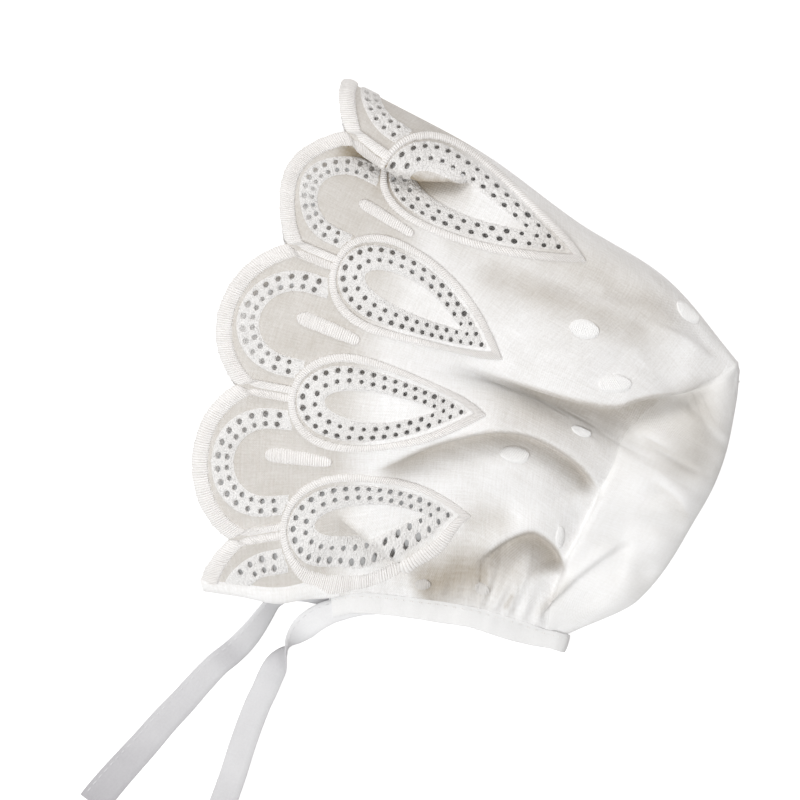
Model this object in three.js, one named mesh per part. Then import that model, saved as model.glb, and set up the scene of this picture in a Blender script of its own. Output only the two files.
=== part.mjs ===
// A baby's sun bonnet of white cotton, laid flat on its side: the left half lies on top of the
// right half, the top fold runs along +Y and the face opening looks to -X.
//
// Units are millimetres. +Z is up, +X runs from the face opening to the back of the head, and +Y
// from the neck to the top of the head. The origin is the middle of the bonnet's footprint, at the
// surface it lies on; the two ties run out of that footprint.
//
// The cloth is described in its own measures. "across" is the distance from the top fold, taken on
// the cloth at the face edge: positive on the upper, left half and negative on the right half.
// "depth" is the distance back from the line through the notches of the scalloped edge.
import * as THREE from "three";

// ---- driving dimensions ----
const CLOTH = 1.2; // wall of every cloth panel
const GAP = 0.3; // between pieces that lie side by side
const SEAM_GAP = 0.6; // between two walls that meet edge to edge round a bend
const SCALLOP_PITCH = 50; // between two notches of the face edge
const SCALLOP_RISE = 11.5; // from the line of the notches to the top of a scallop
const BRIM_DEPTH = 21; // where the scalloped brim meets the crown
const HALF_EDGE = 195; // half of the face edge, from the top fold to the corner at the neck
const LEAF_START = 16; // depth of the round end of an embroidered leaf
const LEAF_TIP = 80; // depth of its point
const LEAF_HALF_WIDTH = 19.5;
const LEAF_PAD = 0.9; // thickness of the embroidery
const LEAF_LIFT = 0.8; // clearance between the embroidery and the cloth that carries it
const REST_LIFT = LEAF_PAD + LEAF_LIFT; // the embroidery under the lower half holds its cloth up
const BINDING_WIDTH = 8;
const BINDING_THICKNESS = 1.6;
const BINDING_START = 34; // depth at which the neck binding starts, behind the brim's hem
const TIE_WIDTH = 9;
const TIE_THICKNESS = 1.2;
const FOLD_STEEPNESS = 1.05; // how fast the cloth climbs round a folded edge, per mm of cloth
const LOWER_SLIP = [-1.0, -3.0]; // the lower half lies a little forward and towards the neck
const APEX_START = 2.5; // distance across the cloth at which the back panel starts, under the top fold
const HALF_CELLS = 32; // facets of each half of the crown between the top fold and the neck
const PLAN_CENTRE = [2.0, -8.2]; // centre of the footprint in the tables' plan coordinates

// Lines along the cloth from the face edge to the back seam, one row each, from the top fold down
// to the neck: the fold, the centre lines of the four embroidered leaves, and the neck edge.
// "across" says where the line lies on the cloth and "reach" how deep it runs. The six places are
// [x, y, height] of its points at the face edge, the widest place of a leaf, the leaf's tip,
// halfway on, the back seam, and the matching point of the fold down the middle of the back panel.
const LINES = [
  {
    name: "top_fold", across: 0, reach: 149,
    front: [-52.8, 77.0, 10], waist: [-13.8, 67.8, 11], tip: [21.7, 54.2, 12],
    shoulder: [54.6, 44.0, 12], seam: [84.0, 24.0, 11], back: [85.6, 21.5, 11],
  },
  {
    name: "first_leaf", across: 25, reach: 140,
    front: [-59.1, 62.1, 27], waist: [-20.0, 51.5, 30], tip: [27.2, 41.7, 31],
    shoulder: [55.0, 32.0, 29], seam: [78.5, 17.5, 22], back: [87.2, 11.0, 12],
  },
  {
    name: "second_leaf", across: 75, reach: 130,
    front: [-68.5, 21.6, 30], waist: [-25.5, 16.0, 35], tip: [9.3, 4.6, 37],
    shoulder: [35.0, 1.0, 35], seam: [59.0, -2.0, 28], back: [88.2, -9.0, 12],
  },
  {
    name: "third_leaf", across: 125, reach: 125,
    front: [-71.4, -26.5, 28], waist: [-27.0, -22.0, 34], tip: [8.8, -14.7, 37],
    shoulder: [31.0, -17.5, 35], seam: [51.8, -25.0, 28], back: [84.6, -28.5, 12],
  },
  {
    name: "fourth_leaf", across: 175, reach: 114,
    front: [-60.9, -75.9, 17], waist: [-21.0, -58.0, 25], tip: [13.0, -47.4, 28],
    shoulder: [30.5, -51.5, 27], seam: [47.0, -57.5, 22], back: [73.0, -60.5, 11],
  },
  {
    name: "neck_edge", across: HALF_EDGE, reach: 106,
    front: [-53.2, -93.0, 9], waist: [-17.0, -82.3, 11], tip: [20.0, -76.8, 13],
    shoulder: [33.5, -77.0, 12], seam: [47.0, -77.3, 11], back: [57.0, -77.8, 8],
  },
];
const PLACES = ["front", "waist", "tip", "shoulder", "seam"];
const WAIST_DEPTH = 42;

// The main folds of the upper half, in plan: each runs from, by and to its three points, raises
// the cloth by "rise" and dies away over "crownward" on one side and "neckward" on the other.
const FOLDS = [
  { name: "crown_valley", from: [-4, -5], by: [28, -3], to: [58, -6], rise: -6, crownward: 11, neckward: 5 },
  { name: "crown_ridge", from: [2, -13], by: [26, -9], to: [50, -23], rise: 3, crownward: 5, neckward: 5 },
  { name: "lip_valley", from: [-14, -36], by: [14, -14], to: [52, -34], rise: -6, crownward: 4, neckward: 6 },
  { name: "lower_bulge", from: [-6, -48], by: [14, -26], to: [44, -42], rise: 4, crownward: 7, neckward: 10 },
  { name: "arch_valley", from: [16, -60], by: [32, -38], to: [50, -60], rise: -4, crownward: 5, neckward: 7 },
  { name: "first_leaf_crease", from: [-44, 52], by: [-30, 58], to: [-14, 54], rise: -1.5, crownward: 7, neckward: 7 },
  { name: "fourth_leaf_crease", from: [-32, -58], by: [-16, -64], to: [2, -74], rise: -2.4, crownward: 7, neckward: 7 },
  { name: "back_crease", from: [56, -40], by: [64, -58], to: [66, -72], rise: -2.5, crownward: 5, neckward: 5 },
];

// Routes of the two ties, [x, y, height] of the tape's middle, from the binding to the free end.
const TIE_ROUTES = {
  tie_left: [
    [-23.9, -89.9, 9.8], [-27.4, -91.8, 9.4], [-30.0, -95.4, 8.2], [-32.0, -100.2, 6.0],
    [-34.0, -105.8, 3.2], [-35.8, -112.0, 1.4], [-36.8, -118.0, 0.9], [-37.4, -124.0, 0.8], [-38.0, -134.0, 0.8],
    [-38.7, -145.0, 0.8], [-39.7, -157.0, 0.8], [-40.3, -164.5, 0.8],
  ],
  tie_right: [
    [-23.6, -89.6, 1.5], [-28.5, -91.0, 2.6], [-34.0, -91.9, 3.6], [-38.4, -92.6, 4.0], [-41.8, -95.2, 3.6],
    [-44.2, -99.8, 2.0], [-46.4, -106.0, 0.9], [-49.2, -111.6, 0.8], [-53.2, -117.2, 0.8],
    [-58.0, -125.0, 0.8], [-63.0, -134.4, 0.8], [-67.6, -144.2, 0.8], [-72.4, -154.4, 0.8],
    [-77.2, -163.6, 0.8], [-82.0, -172.4, 0.8],
  ],
};

const MATERIALS = {
  batiste: () => new THREE.MeshStandardMaterial({ color: 0xf1eee9, roughness: 0.92, metalness: 0 }),
  embroidery: () => new THREE.MeshStandardMaterial({ color: 0xf7f4ef, roughness: 0.78, metalness: 0 }),
  backCloth: () => new THREE.MeshStandardMaterial({ color: 0xf5f3ef, roughness: 0.9, metalness: 0 }),
  tape: () => new THREE.MeshStandardMaterial({ color: 0xf6f4f1, roughness: 0.85, metalness: 0 }),
};

// ---- curves ----

// A smooth curve through values at rising stations, straight beyond both ends.
function spline(stations, values, at) {
  const last = stations.length - 1;
  const slope = (i) => {
    const low = Math.max(i - 1, 0);
    const high = Math.min(i + 1, last);
    return (values[high] - values[low]) / (stations[high] - stations[low]);
  };
  if (at <= stations[0]) return values[0] + (at - stations[0]) * slope(0);
  if (at >= stations[last]) return values[last] + (at - stations[last]) * slope(last);
  let i = 0;
  while (at > stations[i + 1]) i += 1;
  const span = stations[i + 1] - stations[i];
  return blend(values[i], values[i + 1], slope(i) * span, slope(i + 1) * span, (at - stations[i]) / span);
}

// The cubic between two values with the given change per whole span at each end.
function blend(start, end, startSlope, endSlope, share) {
  const s2 = share * share;
  const s3 = s2 * share;
  return (2 * s3 - 3 * s2 + 1) * start + (s3 - 2 * s2 + share) * startSlope
    + (3 * s2 - 2 * s3) * end + (s3 - s2) * endSlope;
}

const smoothStep = (share) => {
  const t = Math.min(Math.max(share, 0), 1);
  return t * t * (3 - 2 * t);
};

// ---- the laid cloth ----

const acrossStations = LINES.map((line) => line.across);
const reachAt = (across) => spline(acrossStations, LINES.map((line) => line.reach), Math.abs(across));

// Point of one line at a depth; lines of different reach keep in step behind the leaf tips.
function linePoint(line, depth, reach) {
  const behind = Math.max(depth - LEAF_TIP, 0) / (reach - LEAF_TIP);
  const own = Math.min(depth, LEAF_TIP) + behind * (line.reach - LEAF_TIP);
  const stations = [0, WAIST_DEPTH, LEAF_TIP, (LEAF_TIP + line.reach) / 2, line.reach];
  return [0, 1, 2].map((axis) => spline(stations, PLACES.map((place) => line[place][axis]), own));
}

// Direction in plan that leads across the cloth towards the neck, at one of the lines.
function neckward(index, depth, reach) {
  const before = linePoint(LINES[Math.max(index - 1, 0)], depth, reach);
  const after = linePoint(LINES[Math.min(index + 1, LINES.length - 1)], depth, reach);
  const [dx, dy] = [after[0] - before[0], after[1] - before[1]];
  const length = Math.hypot(dx, dy);
  return [dx / length, dy / length];
}

// Height that the folds add to the upper half at a place in plan.
function foldHeight(x, y) {
  let height = 0;
  for (const fold of FOLDS) {
    const curve = new THREE.QuadraticBezierCurve(
      new THREE.Vector2(...fold.from), new THREE.Vector2(...fold.by), new THREE.Vector2(...fold.to));
    let nearest = Infinity;
    let width = 1;
    let fade = 0;
    for (let share = 0; share <= 1.0001; share += 0.04) {
      const on = curve.getPoint(share);
      const run = curve.getTangent(share);
      const [dx, dy] = [x - on.x, y - on.y];
      const distance = Math.hypot(dx, dy);
      if (distance < nearest) {
        nearest = distance;
        width = run.x * dy - run.y * dx > 0 ? fold.crownward : fold.neckward;
        fade = smoothStep(Math.min(share, 1 - share) / 0.3);
      }
    }
    height += fold.rise * fade * Math.exp(-((nearest / width) ** 2));
  }
  return height;
}

// Outer face of the cloth at a place given in its own measures.
function clothPoint(across, depth) {
  const offset = Math.min(Math.abs(across), HALF_EDGE);
  const upper = across >= 0;
  const reach = reachAt(offset);
  let i = 0;
  while (i < LINES.length - 2 && offset > LINES[i + 1].across) i += 1;
  const [above, below] = [LINES[i], LINES[i + 1]];
  const [start, end] = [linePoint(above, depth, reach), linePoint(below, depth, reach)];
  const span = below.across - above.across;
  const share = (offset - above.across) / span;
  const startWay = i === 0 ? [0, 0] : neckward(i, depth, reach);
  const endWay = neckward(i + 1, depth, reach);
  const [x, y] = [0, 1].map((axis) => blend(
    start[axis], end[axis], startWay[axis] * span, endWay[axis] * span, share));
  if (!upper) {
    const slip = Math.sin((Math.PI * offset) / HALF_EDGE);
    const z = lowerHeight(start[2], i, share, span, depth);
    return new THREE.Vector3(x + LOWER_SLIP[0] * slip, y + LOWER_SLIP[1] * slip, z);
  }
  const heights = LINES.map((line) => linePoint(line, depth, reach)[2]).slice(1);
  const startSlope = i === 0 ? FOLD_STEEPNESS : heightSlope(heights, i - 1);
  const z = blend(start[2], end[2], startSlope * span, heightSlope(heights, i) * span, share);
  return new THREE.Vector3(x, y, z + foldHeight(x, y) * smoothStep((offset - 8) / 14));
}

// Slope across the cloth of the upper half's heights, at one of the lines below the fold.
function heightSlope(heights, index) {
  const low = Math.max(index - 1, 0);
  const high = Math.min(index + 1, heights.length - 1);
  return (heights[high] - heights[low]) / (acrossStations[high + 1] - acrossStations[low + 1]);
}

// Height of the lower half: it curls down from the fold to lie on its embroidery or on the surface.
function lowerHeight(foldTop, index, share, span, depth) {
  const rest = REST_LIFT * smoothStep((LEAF_TIP + 8 - depth) / 8) * smoothStep((depth - 8) / 8);
  return index === 0 ? blend(foldTop, rest, -FOLD_STEEPNESS * span, 0, share) : rest;
}

// Outer face of the folded back panel. "share" runs from -1 on the seam of the lower half, over 0
// on the fold down its middle, to 1 on the seam of the upper half.
function backPoint(across, share) {
  const offset = Math.abs(across);
  const fold = [0, 1, 2].map((axis) => spline(acrossStations, LINES.map((line) => line.back[axis]), offset));
  const seam = clothPoint(share >= 0 ? offset : -offset, reachAt(offset));
  const away = Math.abs(share);
  const width = Math.hypot(seam.x - fold[0], seam.y - fold[1]);
  const rise = share >= 0 ? 1 : -1;
  const plan = blend(0, 1, 0, 1.15, away);
  const climb = rise * Math.min(FOLD_STEEPNESS * width, 2.2 * Math.abs(seam.z - fold[2]));
  const x = fold[0] + (seam.x - fold[0]) * plan;
  const y = fold[1] + (seam.y - fold[1]) * plan;
  const z = blend(fold[2], seam.z, climb, 0, away);
  return new THREE.Vector3(x, y, share > 0 ? z + foldHeight(x, y) * smoothStep((away - 0.2) / 0.4) * (1 - away) : z);
}

// Line of the scalloped edge: the depth, in front of the notches, at a place across the cloth.
function scallopDepth(across) {
  const radius = (SCALLOP_RISE ** 2 + (SCALLOP_PITCH / 2) ** 2) / (2 * SCALLOP_RISE);
  const fromMiddle = across - SCALLOP_PITCH * Math.round(across / SCALLOP_PITCH);
  return radius - SCALLOP_RISE - Math.sqrt(radius ** 2 - fromMiddle ** 2);
}

// ---- solids ----

// Outward normal of a surface point(a, b), by central differences.
function surfaceNormal(point, a, b, stepA, stepB) {
  const alongA = point(a + stepA, b).sub(point(a - stepA, b));
  const alongB = point(a, b + stepB).sub(point(a, b - stepB));
  return alongA.cross(alongB).normalize();
}

// Closed solid between two grids of points, each an array of equal rows; "outer" is the side whose
// faces look out of the solid when its rows and columns turn counter-clockwise.
function shell(outer, inner) {
  const rows = outer.length;
  const columns = outer[0].length;
  const positions = [...outer.flat(), ...inner.flat()].flatMap((p) => [p.x, p.y, p.z]);
  const at = (row, column, layer) => layer * rows * columns + row * columns + column;
  const index = [];
  const quad = (a, b, c, d) => index.push(a, b, c, a, c, d);
  for (let r = 0; r < rows - 1; r += 1) {
    for (let c = 0; c < columns - 1; c += 1) {
      quad(at(r, c, 0), at(r + 1, c, 0), at(r + 1, c + 1, 0), at(r, c + 1, 0));
      quad(at(r, c, 1), at(r, c + 1, 1), at(r + 1, c + 1, 1), at(r + 1, c, 1));
    }
  }
  for (let r = 0; r < rows - 1; r += 1) {
    quad(at(r, 0, 0), at(r, 0, 1), at(r + 1, 0, 1), at(r + 1, 0, 0));
    quad(at(r, columns - 1, 0), at(r + 1, columns - 1, 0), at(r + 1, columns - 1, 1), at(r, columns - 1, 1));
  }
  for (let c = 0; c < columns - 1; c += 1) {
    quad(at(0, c, 0), at(0, c + 1, 0), at(0, c + 1, 1), at(0, c, 1));
    quad(at(rows - 1, c, 0), at(rows - 1, c, 1), at(rows - 1, c + 1, 1), at(rows - 1, c + 1, 0));
  }
  const geometry = new THREE.BufferGeometry();
  geometry.setAttribute("position", new THREE.Float32BufferAttribute(positions, 3));
  geometry.setIndex(index);
  geometry.translate(-PLAN_CENTRE[0], -PLAN_CENTRE[1], 0);
  return geometry;
}

// Wall of the given thickness on the inner side of a surface sampled at lists of a and b.
function wall(point, listA, listB, thickness, lift = 0) {
  const outer = [];
  const inner = [];
  for (const a of listA) {
    const rowB = typeof listB === "function" ? listB(a) : listB;
    const normals = rowB.map((b) => surfaceNormal(point, a, b, 0.5, 0.5));
    outer.push(rowB.map((b, k) => point(a, b).addScaledVector(normals[k], lift)));
    inner.push(rowB.map((b, k) => point(a, b).addScaledVector(normals[k], lift - thickness)));
  }
  return shell(outer, inner);
}

const steps = (from, to, count) => Array.from({ length: count + 1 }, (_, i) => from + ((to - from) * i) / count);

// ---- pieces ----

function crownPanel() {
  const depths = (across) => steps(BRIM_DEPTH + SEAM_GAP, reachAt(across) - GAP, 12);
  return wall(clothPoint, steps(-HALF_EDGE, HALF_EDGE, 2 * HALF_CELLS), depths, CLOTH);
}

function brim() {
  const perScallop = 12;
  const scallops = steps(-3.5 * SCALLOP_PITCH, 3.5 * SCALLOP_PITCH, 7 * perScallop);
  const corner = steps(3.5 * SCALLOP_PITCH, HALF_EDGE, 5).slice(1);
  const list = [...corner.map((across) => -across).reverse(), ...scallops, ...corner];
  return wall(clothPoint, list, (across) => steps(scallopDepth(across), BRIM_DEPTH, 4), CLOTH);
}

function backPanel() {
  const shares = (across) => {
    const width = backPoint(across, 1).distanceTo(backPoint(across, 0));
    return steps(-1, 1, 10).map((share) => share * (1 - SEAM_GAP / width));
  };
  const folded = (across, share) => backPoint(across, -share);
  return wall(folded, [APEX_START, ...steps(0, HALF_EDGE, HALF_CELLS).slice(1)], shares, CLOTH);
}

// Half width of a leaf at a depth: a round end, widest a third of the way, that tapers to a point.
function leafHalfWidth(depth) {
  const widest = 0.29;
  const share = (depth - LEAF_START) / (LEAF_TIP - LEAF_START);
  const round = Math.sqrt(1 - (Math.max(widest - share, 0) / widest) ** 2);
  const taper = Math.cos((Math.PI / 2) * Math.max(share - widest, 0) / (1 - widest));
  return Math.max(LEAF_HALF_WIDTH * round * Math.max(taper, 0), 0.8);
}

// Pad of embroidery that follows the cloth round one leaf's centre line.
function leaf(centre) {
  const place = (depth, side) => clothPoint(centre + side * leafHalfWidth(depth), depth);
  const depths = steps(0, 1, 11).map((share) => LEAF_START + (LEAF_TIP - LEAF_START) * share ** 1.4);
  const sides = steps(1, -1, Math.abs(centre) < SCALLOP_PITCH ? 9 : 5);
  const outer = [];
  const inner = [];
  for (const depth of depths) {
    const spots = sides.map((side) => place(depth, side));
    const normals = sides.map((side) => surfaceNormal(
      clothPoint, centre + side * leafHalfWidth(depth), depth, 0.5, 0.5));
    outer.push(spots.map((spot, k) => spot.clone().addScaledVector(normals[k], LEAF_LIFT + LEAF_PAD)));
    inner.push(spots.map((spot, k) => spot.clone().addScaledVector(normals[k], LEAF_LIFT)));
  }
  return shell(outer, inner);
}

// Solid band swept along stations, each with a middle, a width direction and a thickness direction.
function band(stations, width, thickness) {
  const corner = (station, w, t) => station.middle.clone()
    .addScaledVector(station.wide, (w * width) / 2).addScaledVector(station.thick, (t * thickness) / 2);
  const outer = stations.map((station) => steps(-1, 1, 2).map((w) => corner(station, w, 1)));
  const inner = stations.map((station) => steps(-1, 1, 2).map((w) => corner(station, w, -1)));
  return shell(outer, inner);
}

// The neck binding: forward along the lower half, round the fold of the back panel, and along the
// upper half, just outside the neck edge of the cloth.
function neckBinding() {
  const reach = LINES.at(-1).reach;
  const offset = SEAM_GAP + BINDING_WIDTH / 2;
  const edge = (half, depth) => {
    const middle = clothPoint(half * HALF_EDGE, depth);
    const run = clothPoint(HALF_EDGE, depth + 1).sub(clothPoint(HALF_EDGE, depth - 1)).setZ(0).normalize();
    const away = [run.y, -run.x];
    const level = half > 0 ? middle.z - BINDING_THICKNESS / 2 : BINDING_THICKNESS / 2;
    return {
      middle: new THREE.Vector3(middle.x + away[0] * offset, middle.y + away[1] * offset, level),
      wide: new THREE.Vector3(-away[0], -away[1], 0),
      thick: new THREE.Vector3(0, 0, half),
    };
  };
  const depths = steps(BINDING_START, reach + 4, 14);
  const upper = depths.map((depth) => edge(1, depth));
  const lower = depths.map((depth) => edge(-1, depth));
  const [top, bottom] = [upper.at(-1), lower.at(-1)];
  const radius = (top.middle.z - bottom.middle.z) / 2;
  const centre = top.middle.clone().add(bottom.middle).multiplyScalar(0.5);
  const run = new THREE.Vector3(top.wide.y, -top.wide.x, 0);
  const turn = steps(0, Math.PI, 8).slice(1, -1).map((angle) => {
    const thick = new THREE.Vector3(0, 0, Math.cos(angle)).addScaledVector(run, Math.sin(angle));
    return { middle: centre.clone().addScaledVector(thick, radius), wide: top.wide, thick };
  });
  return band([...upper, ...turn, ...lower.reverse()], BINDING_WIDTH, BINDING_THICKNESS);
}

function tie(route) {
  const curve = new THREE.CatmullRomCurve3(route.map((point) => new THREE.Vector3(...point)), false, "centripetal");
  const stations = steps(0, 1, 22).map((share) => {
    const run = curve.getTangentAt(share);
    const wide = new THREE.Vector3(run.y, -run.x, 0).normalize();
    return { middle: curve.getPointAt(share), wide, thick: run.clone().cross(wide).normalize() };
  });
  return band(stations, TIE_WIDTH, TIE_THICKNESS);
}

function piece(name, geometry, material) {
  const mesh = new THREE.Mesh(geometry, material());
  mesh.name = name;
  return mesh;
}

const bonnet = new THREE.Group();
bonnet.add(
  piece("crown_panel", crownPanel(), MATERIALS.batiste),
  piece("brim", brim(), MATERIALS.embroidery),
  piece("back_panel", backPanel(), MATERIALS.backCloth),
  piece("neck_binding", neckBinding(), MATERIALS.tape),
);
LINES.filter((line) => line.name.endsWith("leaf")).forEach((line, order) => {
  bonnet.add(piece(`leaf_left_${order + 1}`, leaf(line.across), MATERIALS.embroidery));
  bonnet.add(piece(`leaf_right_${order + 1}`, leaf(-line.across), MATERIALS.embroidery));
});
for (const [name, route] of Object.entries(TIE_ROUTES)) {
  bonnet.add(piece(name, tie(route), MATERIALS.tape));
}

export default bonnet;
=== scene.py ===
"""A baby's sun bonnet of white batiste with a scalloped broderie anglaise front, laid on its side.

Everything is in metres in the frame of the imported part. Sizes in the cloth's own measures are in
millimetres: "across" runs from the top fold towards the neck, positive on the upper half and
negative on the half beneath, and "depth" runs back from the line through the notches of the edge.
"""

import logging
import math
from collections.abc import Sequence
from dataclasses import dataclass, field
from enum import Enum, IntEnum

import bpy
import numpy as np
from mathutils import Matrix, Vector
from mathutils.geometry import delaunay_2d_cdt
from mathutils.kdtree import KDTree

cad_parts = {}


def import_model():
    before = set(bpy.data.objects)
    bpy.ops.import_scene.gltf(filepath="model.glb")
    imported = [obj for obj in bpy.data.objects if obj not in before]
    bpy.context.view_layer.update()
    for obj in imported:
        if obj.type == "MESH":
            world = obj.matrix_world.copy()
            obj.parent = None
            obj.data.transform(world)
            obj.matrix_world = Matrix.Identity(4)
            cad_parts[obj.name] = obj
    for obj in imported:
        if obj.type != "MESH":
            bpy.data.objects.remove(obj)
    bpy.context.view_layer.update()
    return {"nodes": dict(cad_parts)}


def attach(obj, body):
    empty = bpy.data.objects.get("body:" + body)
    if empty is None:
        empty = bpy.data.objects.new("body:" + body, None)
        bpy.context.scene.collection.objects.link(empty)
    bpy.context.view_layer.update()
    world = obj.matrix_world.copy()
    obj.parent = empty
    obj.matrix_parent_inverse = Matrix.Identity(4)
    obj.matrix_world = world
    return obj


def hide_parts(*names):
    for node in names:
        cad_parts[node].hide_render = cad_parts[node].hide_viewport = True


LOG = logging.getLogger("bonnet")
MM = 0.001
UV_PER_MM = 0.01
Array = np.ndarray
Pair = tuple[float, float]
Triple = tuple[float, float, float]
Socket = bpy.types.NodeSocket

# ---- measures shared with the part ----
PLAN_CENTRE = np.array([2.0, -8.2, 0.0])
SCALLOP_PITCH = 50.0
HALF_PITCH = SCALLOP_PITCH / 2
SCALLOP_RISE = 11.5
SCALLOP_RADIUS = (SCALLOP_RISE ** 2 + HALF_PITCH ** 2) / (2 * SCALLOP_RISE)
LEAVES_PER_HALF = 4
HALF_EDGE = 195.0
NECK_LIMIT = HALF_EDGE - (LEAVES_PER_HALF - 0.5) * SCALLOP_PITCH
LEAF_START = 16.0
LEAF_TIP = 80.0
LEAF_HALF_WIDTH = 19.5
WAIST_DEPTH = 42.0
FOLD_STEEPNESS = 1.05
LOWER_SLIP = (0.3, -1.6)
CLOTH_THICKNESS = 0.35
LACE_END = 84.0
CELL = 1.0
SHARP_ANGLE = math.radians(55)


class Half(Enum):
    """The two halves of the bonnet: the left one lies on top of the right one."""

    LEFT = 1
    RIGHT = -1

    @property
    def label(self) -> str:
        """Name of the half in a piece's name."""
        return self.name.lower()


class Seed(IntEnum):
    """First number of the random pattern behind each unevenness."""

    CRUMPLES = 3
    SMALL_CRUMPLES = 5
    EYELETS = 7
    CREASES = 21
    SEAM = 31
    PETAL_BORDERS = 40
    TAPE_BEND = 41
    TAPE_WIDTH = 42
    CORNER_BORDERS = 60
    BARS = 80
    LEAF_BORDERS = 100
    DOTS = 200


@dataclass(frozen=True)
class ClothLine:
    """A line along the laid cloth from the face edge to the back seam.

    Its six places are [x, y, height]: at the face edge, at a leaf's widest place and tip, halfway
    on, at the back seam, and the matching point of the fold of the back panel.
    """

    across: float
    reach: float
    places: tuple[Triple, ...]
    back: Triple

    def stations(self) -> list[float]:
        """Depths of the line's five places on the cloth."""
        return [0.0, WAIST_DEPTH, LEAF_TIP, (LEAF_TIP + self.reach) / 2, self.reach]


LINES = (
    ClothLine(0, 149, ((-52.8, 77, 10), (-13.8, 67.8, 11), (21.7, 54.2, 12), (54.6, 44, 12),
                       (84, 24, 11)), (85.6, 21.5, 11)),
    ClothLine(25, 140, ((-59.1, 62.1, 27), (-20, 51.5, 30), (27.2, 41.7, 31), (55, 32, 29),
                        (78.5, 17.5, 22)), (87.2, 11, 12)),
    ClothLine(75, 130, ((-68.5, 21.6, 30), (-25.5, 16, 35), (9.3, 4.6, 37), (35, 1, 35),
                        (59, -2, 28)), (88.2, -9, 12)),
    ClothLine(125, 125, ((-71.4, -26.5, 28), (-27, -22, 34), (8.8, -14.7, 37), (31, -17.5, 35),
                         (51.8, -25, 28)), (84.6, -28.5, 12)),
    ClothLine(175, 114, ((-60.9, -75.9, 17), (-21, -58, 25), (13, -47.4, 28), (30.5, -51.5, 27),
                         (47, -57.5, 22)), (73, -60.5, 11)),
    ClothLine(HALF_EDGE, 106, ((-53.2, -93, 9), (-17, -82.3, 11), (20, -76.8, 13), (33.5, -77, 12),
                               (47, -77.3, 11)), (53.5, -77.4, 8)),
)
STATIONS = np.array([line.across for line in LINES])


@dataclass(frozen=True)
class Fold:
    """A fold of the upper half, which runs through points in plan.

    On the left of its run the cloth swells and hangs over the line; on the right it drops, by two
    depths at its start and its end, and climbs back. The swelling and the drop die away over their
    own distances, and the fold itself over a share of its length at each end.
    """

    points: tuple[Pair, ...]
    swell: float
    drop: Pair
    left: float
    right: float
    overhang: float = 0.0
    step: float = 1.0
    fade: Pair = (0.25, 0.25)


FOLDS = (
    Fold(((-7, 0), (0, -1.6), (17, -2.1), (31, -2.5), (42, -2.1), (49.4, -0.6), (53.5, 2.2),
          (58.2, 5), (64, 7.6), (71, 10.8), (76.4, 15.2), (80, 19)),
         2.0, (7, 9.5), 9, 9, 2.2, 1.1, (0.34, 0.2)),
    Fold(((-22, -43), (-15, -37.3), (-8.5, -31.4), (0, -25.6), (12.2, -19.6), (21.9, -17.6),
          (29.7, -18.2), (38.5, -20.6), (46.6, -25.2), (52, -31)),
         3.2, (8.5, 9), 4.8, 7, 1.7, 1.15, (0.25, 0.12)),
    Fold(((16, -65), (20.6, -59), (26.6, -51.9), (32.9, -47.5), (37.9, -48.1), (42.7, -50.9), (47.8, -57.5)),
         2.6, (8, 9), 6, 9, 1.5, 1.15, (0.35, 0.15)),
    Fold(((80, 19), (74, 24), (65, 29), (57, 33), (48, 34.5), (32, 31), (14, 30), (4, 31)),
         1.8, (1.8, 1.8), 8, 8, 0.0, 2.5),
    Fold(((78, 21), (74.3, 23.5), (66.6, 26.8), (56.9, 28.3), (50, 29)),
         1.2, (1, 1), 5, 4, 0.4, 0.8, (0.35, 0.35)),
    Fold(((55, -14), (53.2, -23), (51.3, -30.7), (49.7, -41), (48, -50), (46.8, -58), (45.5, -68), (45, -76)),
         1.8, (1.6, 2.4), 7, 5, 0.6, 0.8, (0.35, 0.1)),
    Fold(((54, -7), (62, -8.5), (72, -11), (84, -15)), 1.5, (2.4, 2), 5, 5, 0.4, 1.3, (0.3, 0.3)),
    Fold(((64, -20), (76, -25), (84, -32)), 1.2, (1.7, 1.5), 5, 5, 0.2, 1.5, (0.35, 0.35)),
    Fold(((62, -34), (66, -48), (64, -62)), 0.9, (1, 1), 5, 6, 0.0, 2.2, (0.4, 0.4)),
    Fold(((42, -76), (43.9, -72.5), (48.5, -64.4), (53.1, -56.3), (61.2, -45.8), (67, -40)),
         1.5, (2.4, 1.6), 3, 4, 0.6, 0.8, (0.2, 0.35)),
    Fold(((-62, 58), (-49.7, 56.5), (-39, 53.6), (-30.1, 53.7), (-18.9, 56.4), (-13, 58)),
         2.0, (4, 6), 7, 5.5, 2.2, 0.8, (0.35, 0.16)),
    Fold(((-31, -58), (-27.7, -60), (-20.4, -62.7), (-10.9, -66.2), (-0.8, -70.8), (3, -73)),
         2.8, (3.5, 4.8), 6, 6, 2.0, 0.75, (0.3, 0.2)),
)


@dataclass(frozen=True)
class Nudge:
    """A soft pull on the laid cloth in plan, strongest at one place."""

    x: float
    y: float
    pull: Pair
    radius: float


NUDGES = (
    Nudge(-73.4, 34.3, (2.2, 0.6), 13), Nudge(-65.8, 77.7, (-1.45, -0.4), 9),
    Nudge(-65.8, -94.4, (-2.4, 1.2), 8), Nudge(6.4, -60.9, (2.6, -1.5), 9),
    Nudge(-39.5, -91.5, (0.9, -3.2), 10), Nudge(-24, -87, (0.4, -2.8), 7),
    Nudge(-26, -77, (-0.4, 2.6), 7),
)


@dataclass(frozen=True)
class PaintedShadePlace:
    """A place beside a route where painted shade darkens the cloth: in and under folds, under leaves, in
    pleat valleys and on slopes away from the light.
    """

    points: tuple[Pair, ...]
    strength: float
    left: float
    right: float
    fade: float = 0.15


# Places of painted shade along folds, under leaves, in pleat valleys and on slopes away from the light.
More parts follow.
